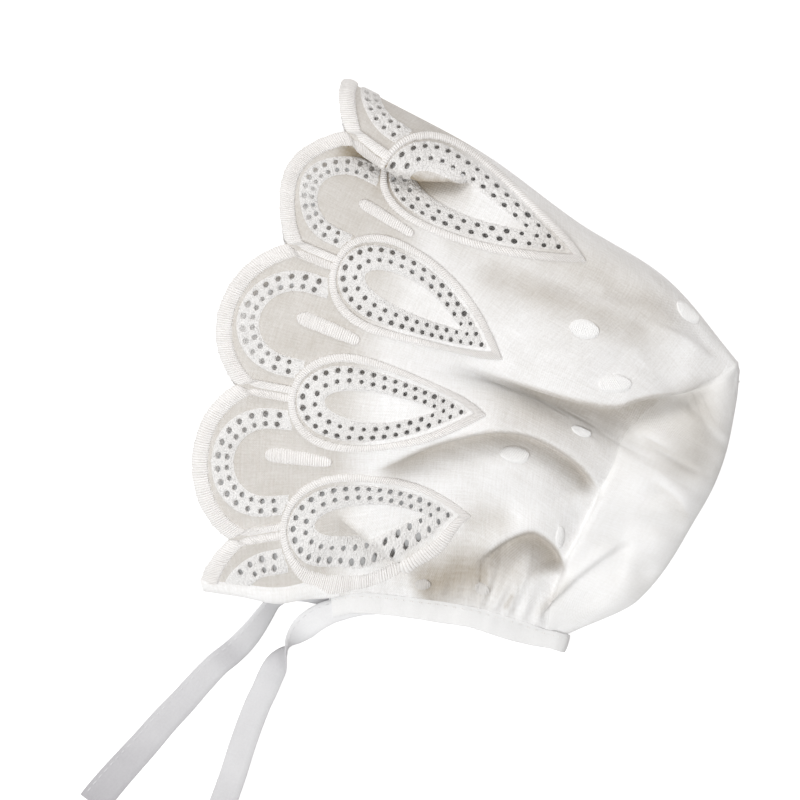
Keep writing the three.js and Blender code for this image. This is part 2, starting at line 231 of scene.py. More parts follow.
PAINTED_SHADE_PLACES = (
    PaintedShadePlace(FOLDS[0].points, 1.8, 0.6, 13, 0.35),
    PaintedShadePlace(FOLDS[1].points, 1.9, 0.6, 5.8, 0.10),
    PaintedShadePlace(FOLDS[2].points, 2.1, 0.6, 12, 0.12),
    PaintedShadePlace(FOLDS[10].points, 1.9, 0.6, 6.5, 0.12),
    PaintedShadePlace(FOLDS[11].points, 1.0, 0.6, 4.5, 0.2),
    PaintedShadePlace(FOLDS[6].points, 1.2, 0.8, 4.5, 0.3),
    PaintedShadePlace(FOLDS[7].points, 0.8, 0.8, 4.5, 0.3),
    PaintedShadePlace(((-14, 33), (0, 30), (14, 28), (30, 26.5), (47, 25), (62, 24)), 1.5, 8, 7, 0.2),
    PaintedShadePlace(((0, -78), (8, -71), (14, -67), (20, -65), (27, -63)), 2.7, 10, 9, 0.2),
    PaintedShadePlace(((9, -53), (18, -48), (28, -43)), 1.1, 7, 8, 0.3),
    PaintedShadePlace(((-24, 41), (-13, 36), (0, 30)), 0.7, 5, 6, 0.3),
    PaintedShadePlace(((24.2, -74.5), (25.1, -70), (26, -65)), 1.5, 1, 1, 0.3),
    PaintedShadePlace(((31.5, -75), (32.3, -71.5), (33.3, -67)), 1.6, 1, 1, 0.3),
    PaintedShadePlace(((40.8, -75.5), (45.7, -67), (51.3, -56)), 1.1, 1.4, 1.6, 0.3),
    PaintedShadePlace(((68, 16), (75, 4), (78, -8), (80, -22)), 1.7, 9, 13, 0.25),
    PaintedShadePlace(((-6, 46), (10, 44), (25, 40), (50, 33), (70, 26)), 1.35, 8, 12, 0.25),
)


@dataclass(frozen=True)
class Pleat:
    """A small pleat that rises from the neck binding, where the cloth is gathered."""

    depth: float
    half_width: float
    height: float
    length: float
    lean: float


PLEATS = (
    Pleat(44, 1.9, 1.0, 7, 0.1), Pleat(50, 1.7, 1.3, 7, 0.2), Pleat(55.5, 1.6, 1.7, 8, 0.2),
    Pleat(60.3, 1.6, 2.0, 9, 0.2), Pleat(65, 2.2, 3.4, 9, 0.1), Pleat(70.2, 2.0, 3.4, 9, 0.15),
    Pleat(75, 1.4, 2.2, 11, 0.3), Pleat(79, 1.4, 2.6, 14, 0.4), Pleat(83.2, 1.5, 3.2, 20, 0.5),
    Pleat(87.6, 1.6, 4.2, 24, 0.6), Pleat(92.2, 1.7, 4.4, 24, 0.5), Pleat(97.2, 2.0, 3.6, 20, 0.45),
    Pleat(102.5, 1.9, 3.0, 17, 0.4),
)


# ---- curves and noise ----
ROUTE_STEPS = 40
FOLD_REACH = 2.6
HOLLOW_POWER = 1.6
HOLLOW_SHIFT = 0.7
# How far the painted shade reaches and how it falls off, and the height below which none is laid and over
# which it eases in.
PAINTED_SHADE_REACH = 2.2
PAINTED_SHADE_POWER = 1.7
PAINTED_SHADE_LOWEST = 2.5
PAINTED_SHADE_EASE = 2.0
NOISE_CELLS = 97


def smooth_step(share: Array) -> Array:
    """Ease from 0 to 1 as share goes from 0 to 1."""
    held = np.clip(share, 0.0, 1.0)
    return held * held * (3 - 2 * held)


def stacked(*parts: Array) -> Array:
    """Arrays of one shape side by side along a new last axis."""
    return np.stack(parts, axis=-1)


def blend(start: Array, end: Array, start_slope: Array, end_slope: Array, share: Array) -> Array:
    """Cubic between two values.

    Args:
        start: Value at share 0.
        end: Value at share 1.
        start_slope: Change per whole span at the start.
        end_slope: Change per whole span at the end.
        share: Place between the two, 0 to 1.

    Returns:
        The value at share.
    """
    s2 = share * share
    s3 = s2 * share
    return ((2 * s3 - 3 * s2 + 1) * start + (s3 - 2 * s2 + share) * start_slope
            + (3 * s2 - 2 * s3) * end + (s3 - s2) * end_slope)


def spline(stations: Sequence[float], values: Sequence[float], at: Array) -> Array:
    """Smooth curve through values at rising stations, straight beyond both ends.

    Args:
        stations: Rising places of the values.
        values: Value at each station.
        at: Places to read.

    Returns:
        The curve's values at those places.
    """
    places = np.asarray(stations, float)
    heights = np.asarray(values, float)
    order = np.arange(len(places))
    low = np.maximum(order - 1, 0)
    high = np.minimum(order + 1, len(places) - 1)
    slopes = (heights[high] - heights[low]) / (places[high] - places[low])
    first = np.clip(np.searchsorted(places, at, side="left") - 1, 0, len(places) - 2)
    span = places[first + 1] - places[first]
    share = np.clip((at - places[first]) / span, 0.0, 1.0)
    inside = blend(heights[first], heights[first + 1], slopes[first] * span, slopes[first + 1] * span, share)
    before = np.minimum(at - places[0], 0.0) * slopes[0]
    after = np.maximum(at - places[-1], 0.0) * slopes[-1]
    return inside + before + after


def spline_points(stations: Sequence[float], points: Sequence[Sequence[float]], at: Array) -> Array:
    """Smooth curve through points: the spline of each of their coordinates, read at places."""
    given = np.asarray(points, float)
    return np.stack([spline(stations, given[:, axis], at) for axis in range(given.shape[1])], axis=-1)


def distances(line: Array) -> Array:
    """Distance of each point of a line from its start, along the line."""
    return np.concatenate([[0.0], np.cumsum(np.linalg.norm(np.diff(line, axis=0), axis=1))])


def read_line(line: Array, along: Array, wanted: Array) -> Array:
    """Points of a line at wanted places, when its own points lie at the places along."""
    return np.stack([np.interp(wanted, along, line[:, axis]) for axis in range(line.shape[1])], axis=1)


def near_route(points: Sequence[Pair], margin: float, x: Array, y: Array) -> Array:
    """Which places in plan lie in the box round a route, grown by a margin."""
    low = np.min(points, axis=0) - margin
    high = np.max(points, axis=0) + margin
    return (x > low[0]) & (x < high[0]) & (y > low[1]) & (y < high[1])


def along_route(points: Sequence[Pair], x: Array, y: Array) -> tuple[Array, Array, Array]:
    """Where places in plan lie beside a smooth route.

    Args:
        points: Points of the route.
        x: First coordinates of the places.
        y: Second coordinates of the places.

    Returns:
        Distance to the left of the route, share of the way along it, and its direction there.
    """
    stations = distances(np.array(points, float))
    route = spline_points(stations, points, np.linspace(0, stations[-1], ROUTE_STEPS + 1))
    spot = stacked(x, y)
    best = np.full(len(spot), np.inf)
    share = np.zeros(len(spot))
    way = np.zeros((len(spot), 2))
    side = np.ones(len(spot))
    for k in range(ROUTE_STEPS):
        run = route[k + 1] - route[k]
        away = spot - route[k]
        t = np.clip(away @ run / (run @ run), 0, 1)
        gap = away - t[:, None] * run
        distance = np.hypot(gap[:, 0], gap[:, 1])
        closer = distance < best
        best = np.where(closer, distance, best)
        share = np.where(closer, (k + t) / ROUTE_STEPS, share)
        side = np.where(closer, np.sign(run[0] * away[:, 1] - run[1] * away[:, 0]), side)
        way = np.where(closer[:, None], run / np.hypot(*run), way)
    return best * side, share, way


def fold_shift(x: Array, y: Array) -> Array:
    """How far the folds move the cloth at places in plan, as [x, y, height]."""
    shift = np.zeros((*x.shape, 3))
    for fold in FOLDS:
        near = near_route(fold.points, FOLD_REACH * max(fold.left, fold.right), x, y)
        away, share, way = along_route(fold.points, x[near], y[near])
        fade = smooth_step(share / fold.fade[0]) * smooth_step((1 - share) / fold.fade[1])
        raised = (0.5 + 0.5 * np.tanh(away / fold.step)) * fade
        swelling = raised * np.exp(-((np.maximum(away, 0) / fold.left) ** 2))
        hollow = (fade - raised) * np.exp(-((np.maximum(-away, 0) / fold.right) ** HOLLOW_POWER))
        lateral = fold.overhang * (HOLLOW_SHIFT * hollow - swelling)
        shift[near, 0] -= lateral * way[:, 1]
        shift[near, 1] += lateral * way[:, 0]
        drop = fold.drop[0] + (fold.drop[1] - fold.drop[0]) * share
        shift[near, 2] += fold.swell * swelling - drop * hollow
    return shift


def painted_shade_at(points: Array) -> Array:
    """How much painted shade darkens the upper half's cloth at points in metres."""
    x, y, z = (points / MM + PLAN_CENTRE).T
    painted_shade = np.zeros(len(points))
    for place in PAINTED_SHADE_PLACES:
        near = near_route(place.points, PAINTED_SHADE_REACH * max(place.left, place.right), x, y)
        away, share, _ = along_route(place.points, x[near], y[near])
        leftward = np.exp(-((np.maximum(away, 0) / place.left) ** PAINTED_SHADE_POWER))
        rightward = np.exp(-((np.maximum(-away, 0) / place.right) ** PAINTED_SHADE_POWER))
        ends = smooth_step(np.minimum(share, 1 - share) / place.fade)
        painted_shade[near] = np.maximum(painted_shade[near], place.strength * (leftward * rightward) * ends)
    return painted_shade * smooth_step((z - PAINTED_SHADE_LOWEST) / PAINTED_SHADE_EASE)


def soft_noise(x: Array, y: Array, cell: float, seed: int) -> Array:
    """Smooth value noise in the plane.

    Args:
        x: First coordinates.
        y: Second coordinates.
        cell: Size of one lump.
        seed: Which pattern.

    Returns:
        Values from -1 to 1.
    """
    lattice = np.random.default_rng(seed).uniform(-1, 1, (NOISE_CELLS, NOISE_CELLS))
    column = x / cell
    row = y / cell
    i = np.floor(column).astype(int)
    j = np.floor(row).astype(int)
    u = smooth_step(column - i)
    v = smooth_step(row - j)
    left = i % NOISE_CELLS
    right = (i + 1) % NOISE_CELLS
    near = j % NOISE_CELLS
    far = (j + 1) % NOISE_CELLS
    low = lattice[left, near] * (1 - u) + lattice[right, near] * u
    high = lattice[left, far] * (1 - u) + lattice[right, far] * u
    return low * (1 - v) + high * v


def resample(line: Array, count: int) -> Array:
    """Points at equal distances along an open line.

    Args:
        line: The line's points, one a row.
        count: Number of points to return.

    Returns:
        The new points, the ends among them.
    """
    along = distances(line)
    return read_line(line, along, np.linspace(0, along[-1], count))


def run_length(line: Array) -> float:
    """Length of a line of points."""
    return float(np.linalg.norm(np.diff(line, axis=0), axis=1).sum())


def unit(vectors: Array) -> Array:
    """Vectors of length one in the same directions."""
    return vectors / np.maximum(np.linalg.norm(vectors, axis=-1, keepdims=True), 1e-12)


# ---- the laid cloth ----
@dataclass
class Net:
    """A sheet sampled on a regular net of its own two measures."""

    first: Array
    second: Array
    points: Array
    normals: Array = field(init=False)

    def __post_init__(self) -> None:
        """Work out the outward normals."""
        along_first = np.gradient(self.points, axis=0)
        along_second = np.gradient(self.points, axis=1)
        self.normals = unit(np.cross(along_first, along_second))

    def at(self, first: Array, second: Array, height: Array | float = 0.0) -> Array:
        """Places on or above the sheet.

        Args:
            first: First measures of the places.
            second: Second measures of the places.
            height: Distance outward from the sheet, in millimetres.

        Returns:
            Points in metres, in the part's frame.
        """
        i, u = self._cell(self.first, first)
        j, v = self._cell(self.second, second)
        weights = ((i, j, (1 - u) * (1 - v)), (i + 1, j, u * (1 - v)),
                   (i, j + 1, (1 - u) * v), (i + 1, j + 1, u * v))
        point = sum(self.points[a, b] * w[..., None] for a, b, w in weights)
        normal = unit(sum(self.normals[a, b] * w[..., None] for a, b, w in weights))
        lifted = point + normal * np.broadcast_to(np.asarray(height, float), point.shape[:-1])[..., None]
        return (lifted - PLAN_CENTRE) * MM

    @staticmethod
    def _cell(stations: Array, at: Array) -> tuple[Array, Array]:
        """Cell that holds each value, and the share of the way through it."""
        scaled = (np.asarray(at, float) - stations[0]) / (stations[1] - stations[0])
        index = np.clip(np.floor(scaled).astype(int), 0, len(stations) - 2)
        return index, scaled - index


@dataclass
class LaidCloth:
    """The crown and its scalloped front as they lie, folded flat on one side."""

    step: float = 0.5
    front: float = -13.0
    lace_rest: float = 1.5
    crown_rest: float = 0.5
    rest_ease: float = 8.0
    folds_start: float = 6.0
    folds_ease: float = 14.0
    edge_margin: float = 1.5
    edge_ease: float = 6.0
    gathered: bool = True
    gather_sink: float = 0.3
    gather_reach: float = 7.0
    gather_start: float = 42.0
    gather_ease: float = 10.0
    pleat_strength: float = 1.15
    pleat_spread: float = 0.05
    pleat_fade: float = 0.8
    pleat_foot: float = 0.3
    pleat_rise: float = 2.6
    crumple: float = 0.5
    crumple_front: float = 0.35
    crumple_start: float = 45.0
    crumple_ease: float = 35.0
    lump: float = 11.0
    small_lump: float = 4.5
    small_share: float = 0.45
    small_stretch: float = 0.7

    def net(self) -> Net:
        """Sample the whole cloth, half under half, on a fine net."""
        across = np.arange(-HALF_EDGE, HALF_EDGE + self.step / 2, self.step)
        behind_seam = 3
        depth = np.arange(self.front, LINES[0].reach + behind_seam, self.step)
        grid = np.meshgrid(across, depth, indexing="ij")
        return Net(across, depth, self.point(*grid))

    def reach(self, across: Array) -> Array:
        """Depth of the back seam at places across the cloth."""
        return spline(STATIONS, [line.reach for line in LINES], np.abs(across))

    def point(self, across: Array, depth: Array) -> Array:
        """Outer face of the cloth with its folds, pleats and crumples.

        Args:
            across: Distances from the top fold, negative on the half beneath.
            depth: Distances from the line of the notches.

        Returns:
            Plan and height in millimetres, as the lines give them.
        """
        smooth = self.smooth_point(across, depth)
        offset = np.minimum(np.abs(across), HALF_EDGE)
        strength = (smooth_step((across - self.folds_start) / self.folds_ease)
                    * smooth_step((HALF_EDGE + self.edge_margin - offset) / self.edge_ease))
        folded = smooth + fold_shift(smooth[..., 0], smooth[..., 1]) * strength[..., None]
        upper = (self._pleats(offset, depth) if self.gathered else 0) + self._crumples(across, depth)
        folded[..., 2] += np.where(across > 0, upper * smooth_step(offset / self.folds_start), 0)
        return folded

    def smooth_point(self, across: Array, depth: Array) -> Array:
        """Outer face of the cloth without its folds.

        Args:
            across: Distances from the top fold, negative on the half beneath.
            depth: Distances from the line of the notches.

        Returns:
            Plan and height in millimetres, as the lines give them.
        """
        offset = np.minimum(np.abs(across), HALF_EDGE)
        reach = self.reach(offset)
        on_lines = np.stack([self._line_point(line, depth, reach) for line in LINES])
        i = np.clip(np.searchsorted(STATIONS, offset, side="left") - 1, 0, len(LINES) - 2)
        span = STATIONS[i + 1] - STATIONS[i]
        share = (offset - STATIONS[i]) / span
        start = self._pick(on_lines, i)
        end = self._pick(on_lines, i + 1)
        ways = self._neckward(on_lines)
        start_way = self._pick(ways, i) * (i > 0)[..., None]
        end_way = self._pick(ways, i + 1)
        wide = span[..., None]
        plan = blend(start[..., :2], end[..., :2], start_way * wide, end_way * wide, share[..., None])
        upper = self._upper_height(on_lines, i, share, span)
        lower = self._lower_height(start[..., 2], i, share, span, depth)
        slip = np.sin(np.pi * offset / HALF_EDGE)
        beneath = across < 0
        x = plan[..., 0] + LOWER_SLIP[0] * slip * beneath
        y = plan[..., 1] + LOWER_SLIP[1] * slip * beneath
        pulls = [(nudge.pull, np.exp(-((x - nudge.x) ** 2 + (y - nudge.y) ** 2) / nudge.radius ** 2))
                 for nudge in NUDGES]
        x = x + sum(pull[0] * share_of for pull, share_of in pulls)
        y = y + sum(pull[1] * share_of for pull, share_of in pulls)
        return stacked(x, y, np.where(beneath, lower, upper))

    @staticmethod
    def _pick(stack: Array, index: Array) -> Array:
        """Rows of a stack, one for each place."""
        return np.take_along_axis(stack, index[None, ..., None], axis=0)[0]

    @staticmethod
    def _line_point(line: ClothLine, depth: Array, reach: Array) -> Array:
        """Point of one line at a depth; lines of different reach keep in step behind the leaf tips."""
        behind = np.maximum(depth - LEAF_TIP, 0) / (reach - LEAF_TIP)
        own = np.minimum(depth, LEAF_TIP) + behind * (line.reach - LEAF_TIP)
        return spline_points(line.stations(), line.places, own)

    @staticmethod
    def _neckward(on_lines: Array) -> Array:
        """Directions in plan that lead across the cloth towards the neck, at every line."""
        last = len(LINES) - 1
        ways = [on_lines[min(line + 1, last), ..., :2] - on_lines[max(line - 1, 0), ..., :2]
                for line in range(last + 1)]
        return unit(np.stack(ways))

    def _upper_height(self, on_lines: Array, i: Array, share: Array, span: Array) -> Array:
        """Height of the upper half before its folds."""
        last = len(LINES) - 1
        slopes = [np.full(share.shape, FOLD_STEEPNESS)]
        for line in range(1, last + 1):
            low = max(line - 1, 1)
            high = min(line + 1, last)
            slopes.append((on_lines[high, ..., 2] - on_lines[low, ..., 2]) / (STATIONS[high] - STATIONS[low]))
        slope = np.stack(slopes)[..., None]
        heights = on_lines[..., 2:]
        start, end, start_slope, end_slope = (
            self._pick(stack, index)[..., 0]
            for stack, index in ((heights, i), (heights, i + 1), (slope, i), (slope, i + 1)))
        return blend(start, end, start_slope * span, end_slope * span, share)

    def _lower_height(self, top: Array, i: Array, share: Array, span: Array, depth: Array) -> Array:
        """Height of the half beneath, which lies on its embroidery."""
        on_lace = smooth_step((LEAF_TIP + self.rest_ease - depth) / self.rest_ease)
        rest = self.crown_rest + (self.lace_rest - self.crown_rest) * on_lace
        curl = blend(top, rest, -FOLD_STEEPNESS * span, np.zeros_like(share), share)
        return np.where(i == 0, curl, rest)

    def _pleats(self, offset: Array, depth: Array) -> Array:
        """Height of the small pleats where the cloth is gathered into the neck binding."""
        up = HALF_EDGE - offset
        begun = smooth_step((depth - self.gather_start) / self.gather_ease)
        height = -self.gather_sink * np.exp(-((up / self.gather_reach) ** 2)) * begun
        foot = smooth_step((up + self.pleat_foot) / self.pleat_rise)
        for pleat in PLEATS:
            width = pleat.half_width * (1 + self.pleat_spread * up)
            across = (depth - pleat.depth - pleat.lean * up) / width
            along = smooth_step((pleat.length - up) / (self.pleat_fade * pleat.length)) * foot
            height += self.pleat_strength * pleat.height * np.exp(-(across ** 2)) * along
        return height

    def _crumples(self, across: Array, depth: Array) -> Array:
        """Soft unevenness of thin washed cotton, calmer on the embroidered front."""
        behind = smooth_step((depth - self.crumple_start) / self.crumple_ease)
        strength = self.crumple_front + (1 - self.crumple_front) * behind
        coarse = soft_noise(across, depth, self.lump, Seed.CRUMPLES)
        fine = soft_noise(across, depth * self.small_stretch, self.small_lump, Seed.SMALL_CRUMPLES)
        return self.crumple * strength * (coarse + self.small_share * fine)


# ---- finishes ----
class NodeDesk:
    """Adds nodes to one tree in short calls."""

    def __init__(self, tree: bpy.types.NodeTree) -> None:
        """Start on a tree."""
        self.tree = tree

    def add(self, kind: str, inputs: dict[str | int, object] | None = None,
            **settings: object) -> bpy.types.Node:
        """Add one node.

        Args:
            kind: Type name of the node.
            inputs: Value or source socket for each input, by name or number.
            **settings: Attributes of the node.

        Returns:
            The node.
        """
        node = self.tree.nodes.new(kind)
        for name, value in settings.items():
            setattr(node, name, value)
        for name, value in (inputs or {}).items():
            if isinstance(value, Socket):
                self.tree.links.new(value, node.inputs[name])
            else:
                node.inputs[name].default_value = value
        return node

    def math(self, operation: str, *values: object) -> Socket:
        """Result of one scalar operation on values or sockets."""
        return self.add("ShaderNodeMath", dict(enumerate(values)), operation=operation).outputs[0]

    def stretched(self, at: Socket, factors: Triple) -> Socket:
        """A vector, with each of its parts times its own factor."""
        return self.add("ShaderNodeVectorMath", {0: at, 1: factors}, operation="MULTIPLY").outputs[0]

    def millimetres(self) -> tuple[Socket, Socket, Socket]:
        """The cloth's own measures at a point: as a vector, and its two parts."""
        laid = self.add("ShaderNodeTexCoord").outputs["UV"]
        scaled = self.stretched(laid, (1 / UV_PER_MM,) * 3)
        parts = self.add("ShaderNodeSeparateXYZ", {0: scaled})
        return scaled, parts.outputs[0], parts.outputs[1]

    def noise(self, at: Socket, stretch: Triple, detail: float) -> Socket:
        """Noise stretched along the cloth's measures."""
        placed = self.stretched(at, stretch)
        texture = self.add("ShaderNodeTexNoise", {"Vector": placed, "Scale": 1.0, "Detail": detail})
        return texture.outputs[0]


def new_group(name: str, sockets_in: dict[str, float],
              sockets_out: Sequence[str]) -> tuple[NodeDesk, bpy.types.NodeOutputs]:
    """Start a node group.

    Args:
        name: Name of the group.
        sockets_in: Its number inputs with their usual values.
        sockets_out: Its number outputs.

    Returns:
        A desk on the group's tree, and the sockets that give its inputs.
    """
    tree = bpy.data.node_groups.new(name, "ShaderNodeTree")
    for label, value in sockets_in.items():
        socket = tree.interface.new_socket(name=label, in_out="INPUT", socket_type="NodeSocketFloat")
        socket.default_value = value
    for label in sockets_out:
        tree.interface.new_socket(name=label, in_out="OUTPUT", socket_type="NodeSocketFloat")
    desk = NodeDesk(tree)
    return desk, desk.add("NodeGroupInput").outputs


def plain_weave() -> None:
    """Group for threads over and under each other, with slubs: Height and Shade."""
    desk, given = new_group("plain_weave", {"Pitch": 0.42, "Slub": 0.5}, ("Height", "Shade"))
    at, u, v = desk.millimetres()
    turns = desk.math("DIVIDE", 2 * math.pi, given["Pitch"])
    bend = desk.math("MULTIPLY", desk.noise(at, (0.35, 0.35, 1), 1.0), 2.4)
    warp = desk.math("SINE", desk.math("ADD", desk.math("MULTIPLY", u, turns), bend))
    weft = desk.math("SINE", desk.math("ADD", desk.math("MULTIPLY", v, turns), bend))
    crossing = desk.math("MULTIPLY", warp, weft)
    thick_warp = desk.noise(at, (1.6, 0.11, 1), 2.0)
    thick_weft = desk.noise(at, (0.11, 1.6, 1), 2.0)
    grain = desk.math("SUBTRACT", desk.noise(at, (1.35, 1.35, 1), 3.0), 0.5)
    slubs = desk.math("SUBTRACT", desk.math("ADD", thick_warp, thick_weft), 1.0)
    slub = desk.math("MULTIPLY", slubs, given["Slub"])
    threads = desk.math("ADD", desk.math("MULTIPLY", crossing, 0.5), slub)
    height = desk.math("MULTIPLY_ADD", grain, 0.9, threads)
    crossed = desk.math("MULTIPLY", crossing, 0.5)
    shade = desk.math("MULTIPLY_ADD", slub, 2.2, desk.math("MULTIPLY_ADD", grain, 2.2, crossed))
    desk.add("NodeGroupOutput", {"Height": height, "Shade": shade})


def satin_floss() -> None:
    """Group for satin stitch, with fine threads and painted shade in the groove between two ribs: Height and
    Shade.
    """
    desk, given = new_group("satin_floss", {"Thread": 0.4, "Rib": 0.74, "Line": 0.8}, ("Height", "Shade"))
    at, u, _ = desk.millimetres()
    drift = desk.math("MULTIPLY", desk.noise(at, (0.9, 0.25, 1), 1.0), 3.0)
    turns = desk.math("DIVIDE", 2 * math.pi, given["Thread"])
    threads = desk.math("SINE", desk.math("ADD", desk.math("MULTIPLY", u, turns), drift))
    uneven = desk.math("SUBTRACT", desk.noise(at, (2.2, 0.5, 1), 2.0), 0.5)
    # Painted shade: a dark line in the groove where the ribs dip, between two of them.
    rib_turns = desk.math("DIVIDE", 2 * math.pi, given["Rib"])
    between = desk.math("MAXIMUM", desk.math("COSINE", desk.math("MULTIPLY", u, rib_turns)), 0.0)
    line = desk.math("MULTIPLY", desk.math("POWER", between, 2.0), given["Line"])
    height = desk.math("ADD", desk.math("MULTIPLY", threads, 0.5), uneven)
    shade = desk.math("SUBTRACT", desk.math("ADD", desk.math("MULTIPLY", threads, 0.15), uneven), line)
    desk.add("NodeGroupOutput", {"Height": height, "Shade": shade})


def stitched_ground() -> None:
    """Group for the rough stitched filling between eyelets: Height and Shade."""
    desk, given = new_group("stitched_ground", {"Stitch": 1.0}, ("Height", "Shade"))
    at = desk.millimetres()[0]
    sized = desk.add("ShaderNodeVectorMath", {0: at, "Scale": given["Stitch"]}, operation="SCALE").outputs[0]
    stray = desk.noise(sized, (1.1, 3.2, 1), 3.0)
    cells = desk.add("ShaderNodeTexVoronoi", {"Vector": sized, "Scale": 1.3, "Randomness": 1.0})
    knots = desk.math("SUBTRACT", 0.6, cells.outputs["Distance"])
    height = desk.math("ADD", stray, desk.math("MULTIPLY", knots, 0.8))
    shade = desk.math("SUBTRACT", desk.math("ADD", stray, desk.math("MULTIPLY", knots, 0.3)), 0.5)
    desk.add("NodeGroupOutput", {"Height": height, "Shade": shade})


def washed_tone() -> None:
    """Group for the slow drift of colour over washed cotton: Tone, from 0 to 1."""
    desk, given = new_group("washed_tone", {"Patch": 14.0}, ("Tone",))
    at = desk.millimetres()[0]
    near = desk.math("DIVIDE", 1.0, given["Patch"])
    sized = desk.add("ShaderNodeVectorMath", {0: at, "Scale": near}, operation="SCALE").outputs[0]
    drift = desk.noise(sized, (1, 1, 1), 3.0)
    tone = desk.add("ShaderNodeMapRange", {"Value": drift, "From Min": 0.3, "From Max": 0.7}).outputs[0]
    desk.add("NodeGroupOutput", {"Tone": tone})


class Surface(Enum):
    """The surface effects that a finish can be made with."""

    WEAVE = "plain_weave"
    FLOSS = "satin_floss"
    GROUND = "stitched_ground"


@dataclass(frozen=True)
class Finish:
    """A cotton finish: two tones that drift, a fine surface, and how it takes light.

    One share says how much painted shade it takes from the places of painted shade, and another how much
    painted shade darkens it on the front, up to front_depths, where the shade of the hollow shows through one
    thin layer.
    """

    name: str
    light: Triple
    dark: Triple
    surface: Surface
    settings: tuple[tuple[str, float], ...]
    relief: float
    contrast: float
    roughness: float
    sheen: float
    sheer: float = 0.0
    front_painted_shade: float = 0.0
    front_depths: Pair = (28.0, 46.0)
    usual_tone: float = 0.5
    drift_share: float = 0.4
    sheen_roughness: float = 0.55
    specular: float = 0.25

    def material(self) -> bpy.types.Material:
        """Build the material once and return it after that."""
        found = bpy.data.materials.get(self.name)
        if found:
            return found
        made = bpy.data.materials.new(self.name)
        made.use_nodes = True
        made.node_tree.nodes.clear()
        desk = NodeDesk(made.node_tree)
        effect = desk.add("ShaderNodeGroup", node_tree=bpy.data.node_groups[self.surface.value])
        for label, value in self.settings:
            effect.inputs[label].default_value = value
        drift = desk.add("ShaderNodeGroup", node_tree=bpy.data.node_groups["washed_tone"])
        shade = desk.math("MULTIPLY_ADD", effect.outputs["Shade"], self.contrast, self.usual_tone)
        tone = desk.math("MULTIPLY_ADD", drift.outputs["Tone"], self.drift_share, shade)
        # Painted shade: the tone moves towards the dark tone, and past it, by the amount in the second UV
        # layer.
        if self.sheer:
            shade_layer = desk.add("ShaderNodeUVMap", uv_map="sheer").outputs[0]
            painted_shade = desk.add("ShaderNodeSeparateXYZ", {0: shade_layer}).outputs[0]
            tone = desk.math("MULTIPLY_ADD", painted_shade, -self.sheer, tone)
        # Painted shade on the front, where the shade of the hollow shows through one thin layer.
        if self.front_painted_shade:
            depth = desk.millimetres()[2]
            front = desk.add("ShaderNodeMapRange", {
                "Value": depth, "From Min": self.front_depths[0], "From Max": self.front_depths[1],
                "To Min": self.front_painted_shade, "To Max": 0.0}, interpolation_type="SMOOTHSTEP")
            tone = desk.math("SUBTRACT", tone, front.outputs[0])
        colour = desk.add("ShaderNodeMix", {0: tone, 6: (*self.dark, 1), 7: (*self.light, 1)},
                          data_type="RGBA", clamp_factor=False).outputs[2]
        bump = desk.add("ShaderNodeBump", {"Strength": 1.0, "Distance": self.relief * MM,
                                           "Height": effect.outputs["Height"]}).outputs[0]
        shader = desk.add("ShaderNodeBsdfPrincipled", {
            "Base Color": colour, "Normal": bump, "Roughness": self.roughness, "Sheen Weight": self.sheen,
            "Sheen Roughness": self.sheen_roughness, "Specular IOR Level": self.specular})
        desk.add("ShaderNodeOutputMaterial", {"Surface": shader.outputs[0]})
        return made


# Where a finish has a share of painted shade, the places of painted shade darken it.
BATISTE = Finish(
    "washed_batiste", (0.952, 0.951, 0.953), (0.79, 0.774, 0.755), Surface.WEAVE,
    (("Pitch", 0.68), ("Slub", 0.9)), relief=0.085, contrast=0.42, roughness=0.92, sheen=0.25,
    sheer=1.0, front_painted_shade=1.5)
BACK_CLOTH = Finish(
    "washed_back_cloth", (0.965, 0.965, 0.967), (0.83, 0.818, 0.80), Surface.WEAVE,
    (("Pitch", 0.68), ("Slub", 0.7)), relief=0.06, contrast=0.32, roughness=0.9, sheen=0.25, sheer=1.0)
TAPE = Finish(
    "folded_tape", (0.88, 0.88, 0.88), (0.79, 0.787, 0.783), Surface.WEAVE, (("Pitch", 0.6), ("Slub", 0.4)),
    relief=0.05, contrast=0.3, roughness=0.88, sheen=0.2)
# The same tape as folded_tape, made darker and a little bluer: painted shade; it also takes the painted shade
# along each tie.
TIE_TAPE = Finish(
    "tie_tape", (0.775, 0.776, 0.788), (0.635, 0.632, 0.648), Surface.WEAVE, (("Pitch", 0.56), ("Slub", 0.4)),
    relief=0.04, contrast=0.22, roughness=0.88, sheen=0.2, sheer=1.0)
SATIN = Finish(
    "satin_stitch", (0.972, 0.962, 0.955), (0.785, 0.762, 0.742), Surface.FLOSS,
    (("Thread", 0.4), ("Rib", 0.74), ("Line", 1.5)), relief=0.05, contrast=0.7, roughness=0.6,
    sheen=0.3, sheer=0.15)
DOT_SATIN = Finish(
    "dot_satin", (0.985, 0.985, 0.985), (0.90, 0.896, 0.89), Surface.FLOSS,
    (("Thread", 0.3), ("Rib", 0.6), ("Line", 0.8)), relief=0.04, contrast=0.7, roughness=0.6, sheen=0.4)
# A darker copy of dot_satin for the dots sunk in the gathers, where shade falls: painted shade; the places of
# painted shade also darken it.
GATHERED_SATIN = Finish(
    "gathered_satin", (0.965, 0.96, 0.955), (0.835, 0.824, 0.812), Surface.FLOSS,
    (("Thread", 0.3), ("Rib", 0.6), ("Line", 0.7)), relief=0.04, contrast=0.6, roughness=0.6,
    sheen=0.3, sheer=1.0)
EYELET_STITCH = Finish(
    "eyelet_stitch", (0.985, 0.976, 0.968), (0.83, 0.81, 0.79), Surface.GROUND, (("Stitch", 1.0),),
    relief=0.6, contrast=1.3, roughness=0.7, sheen=0.25, sheer=0.6)


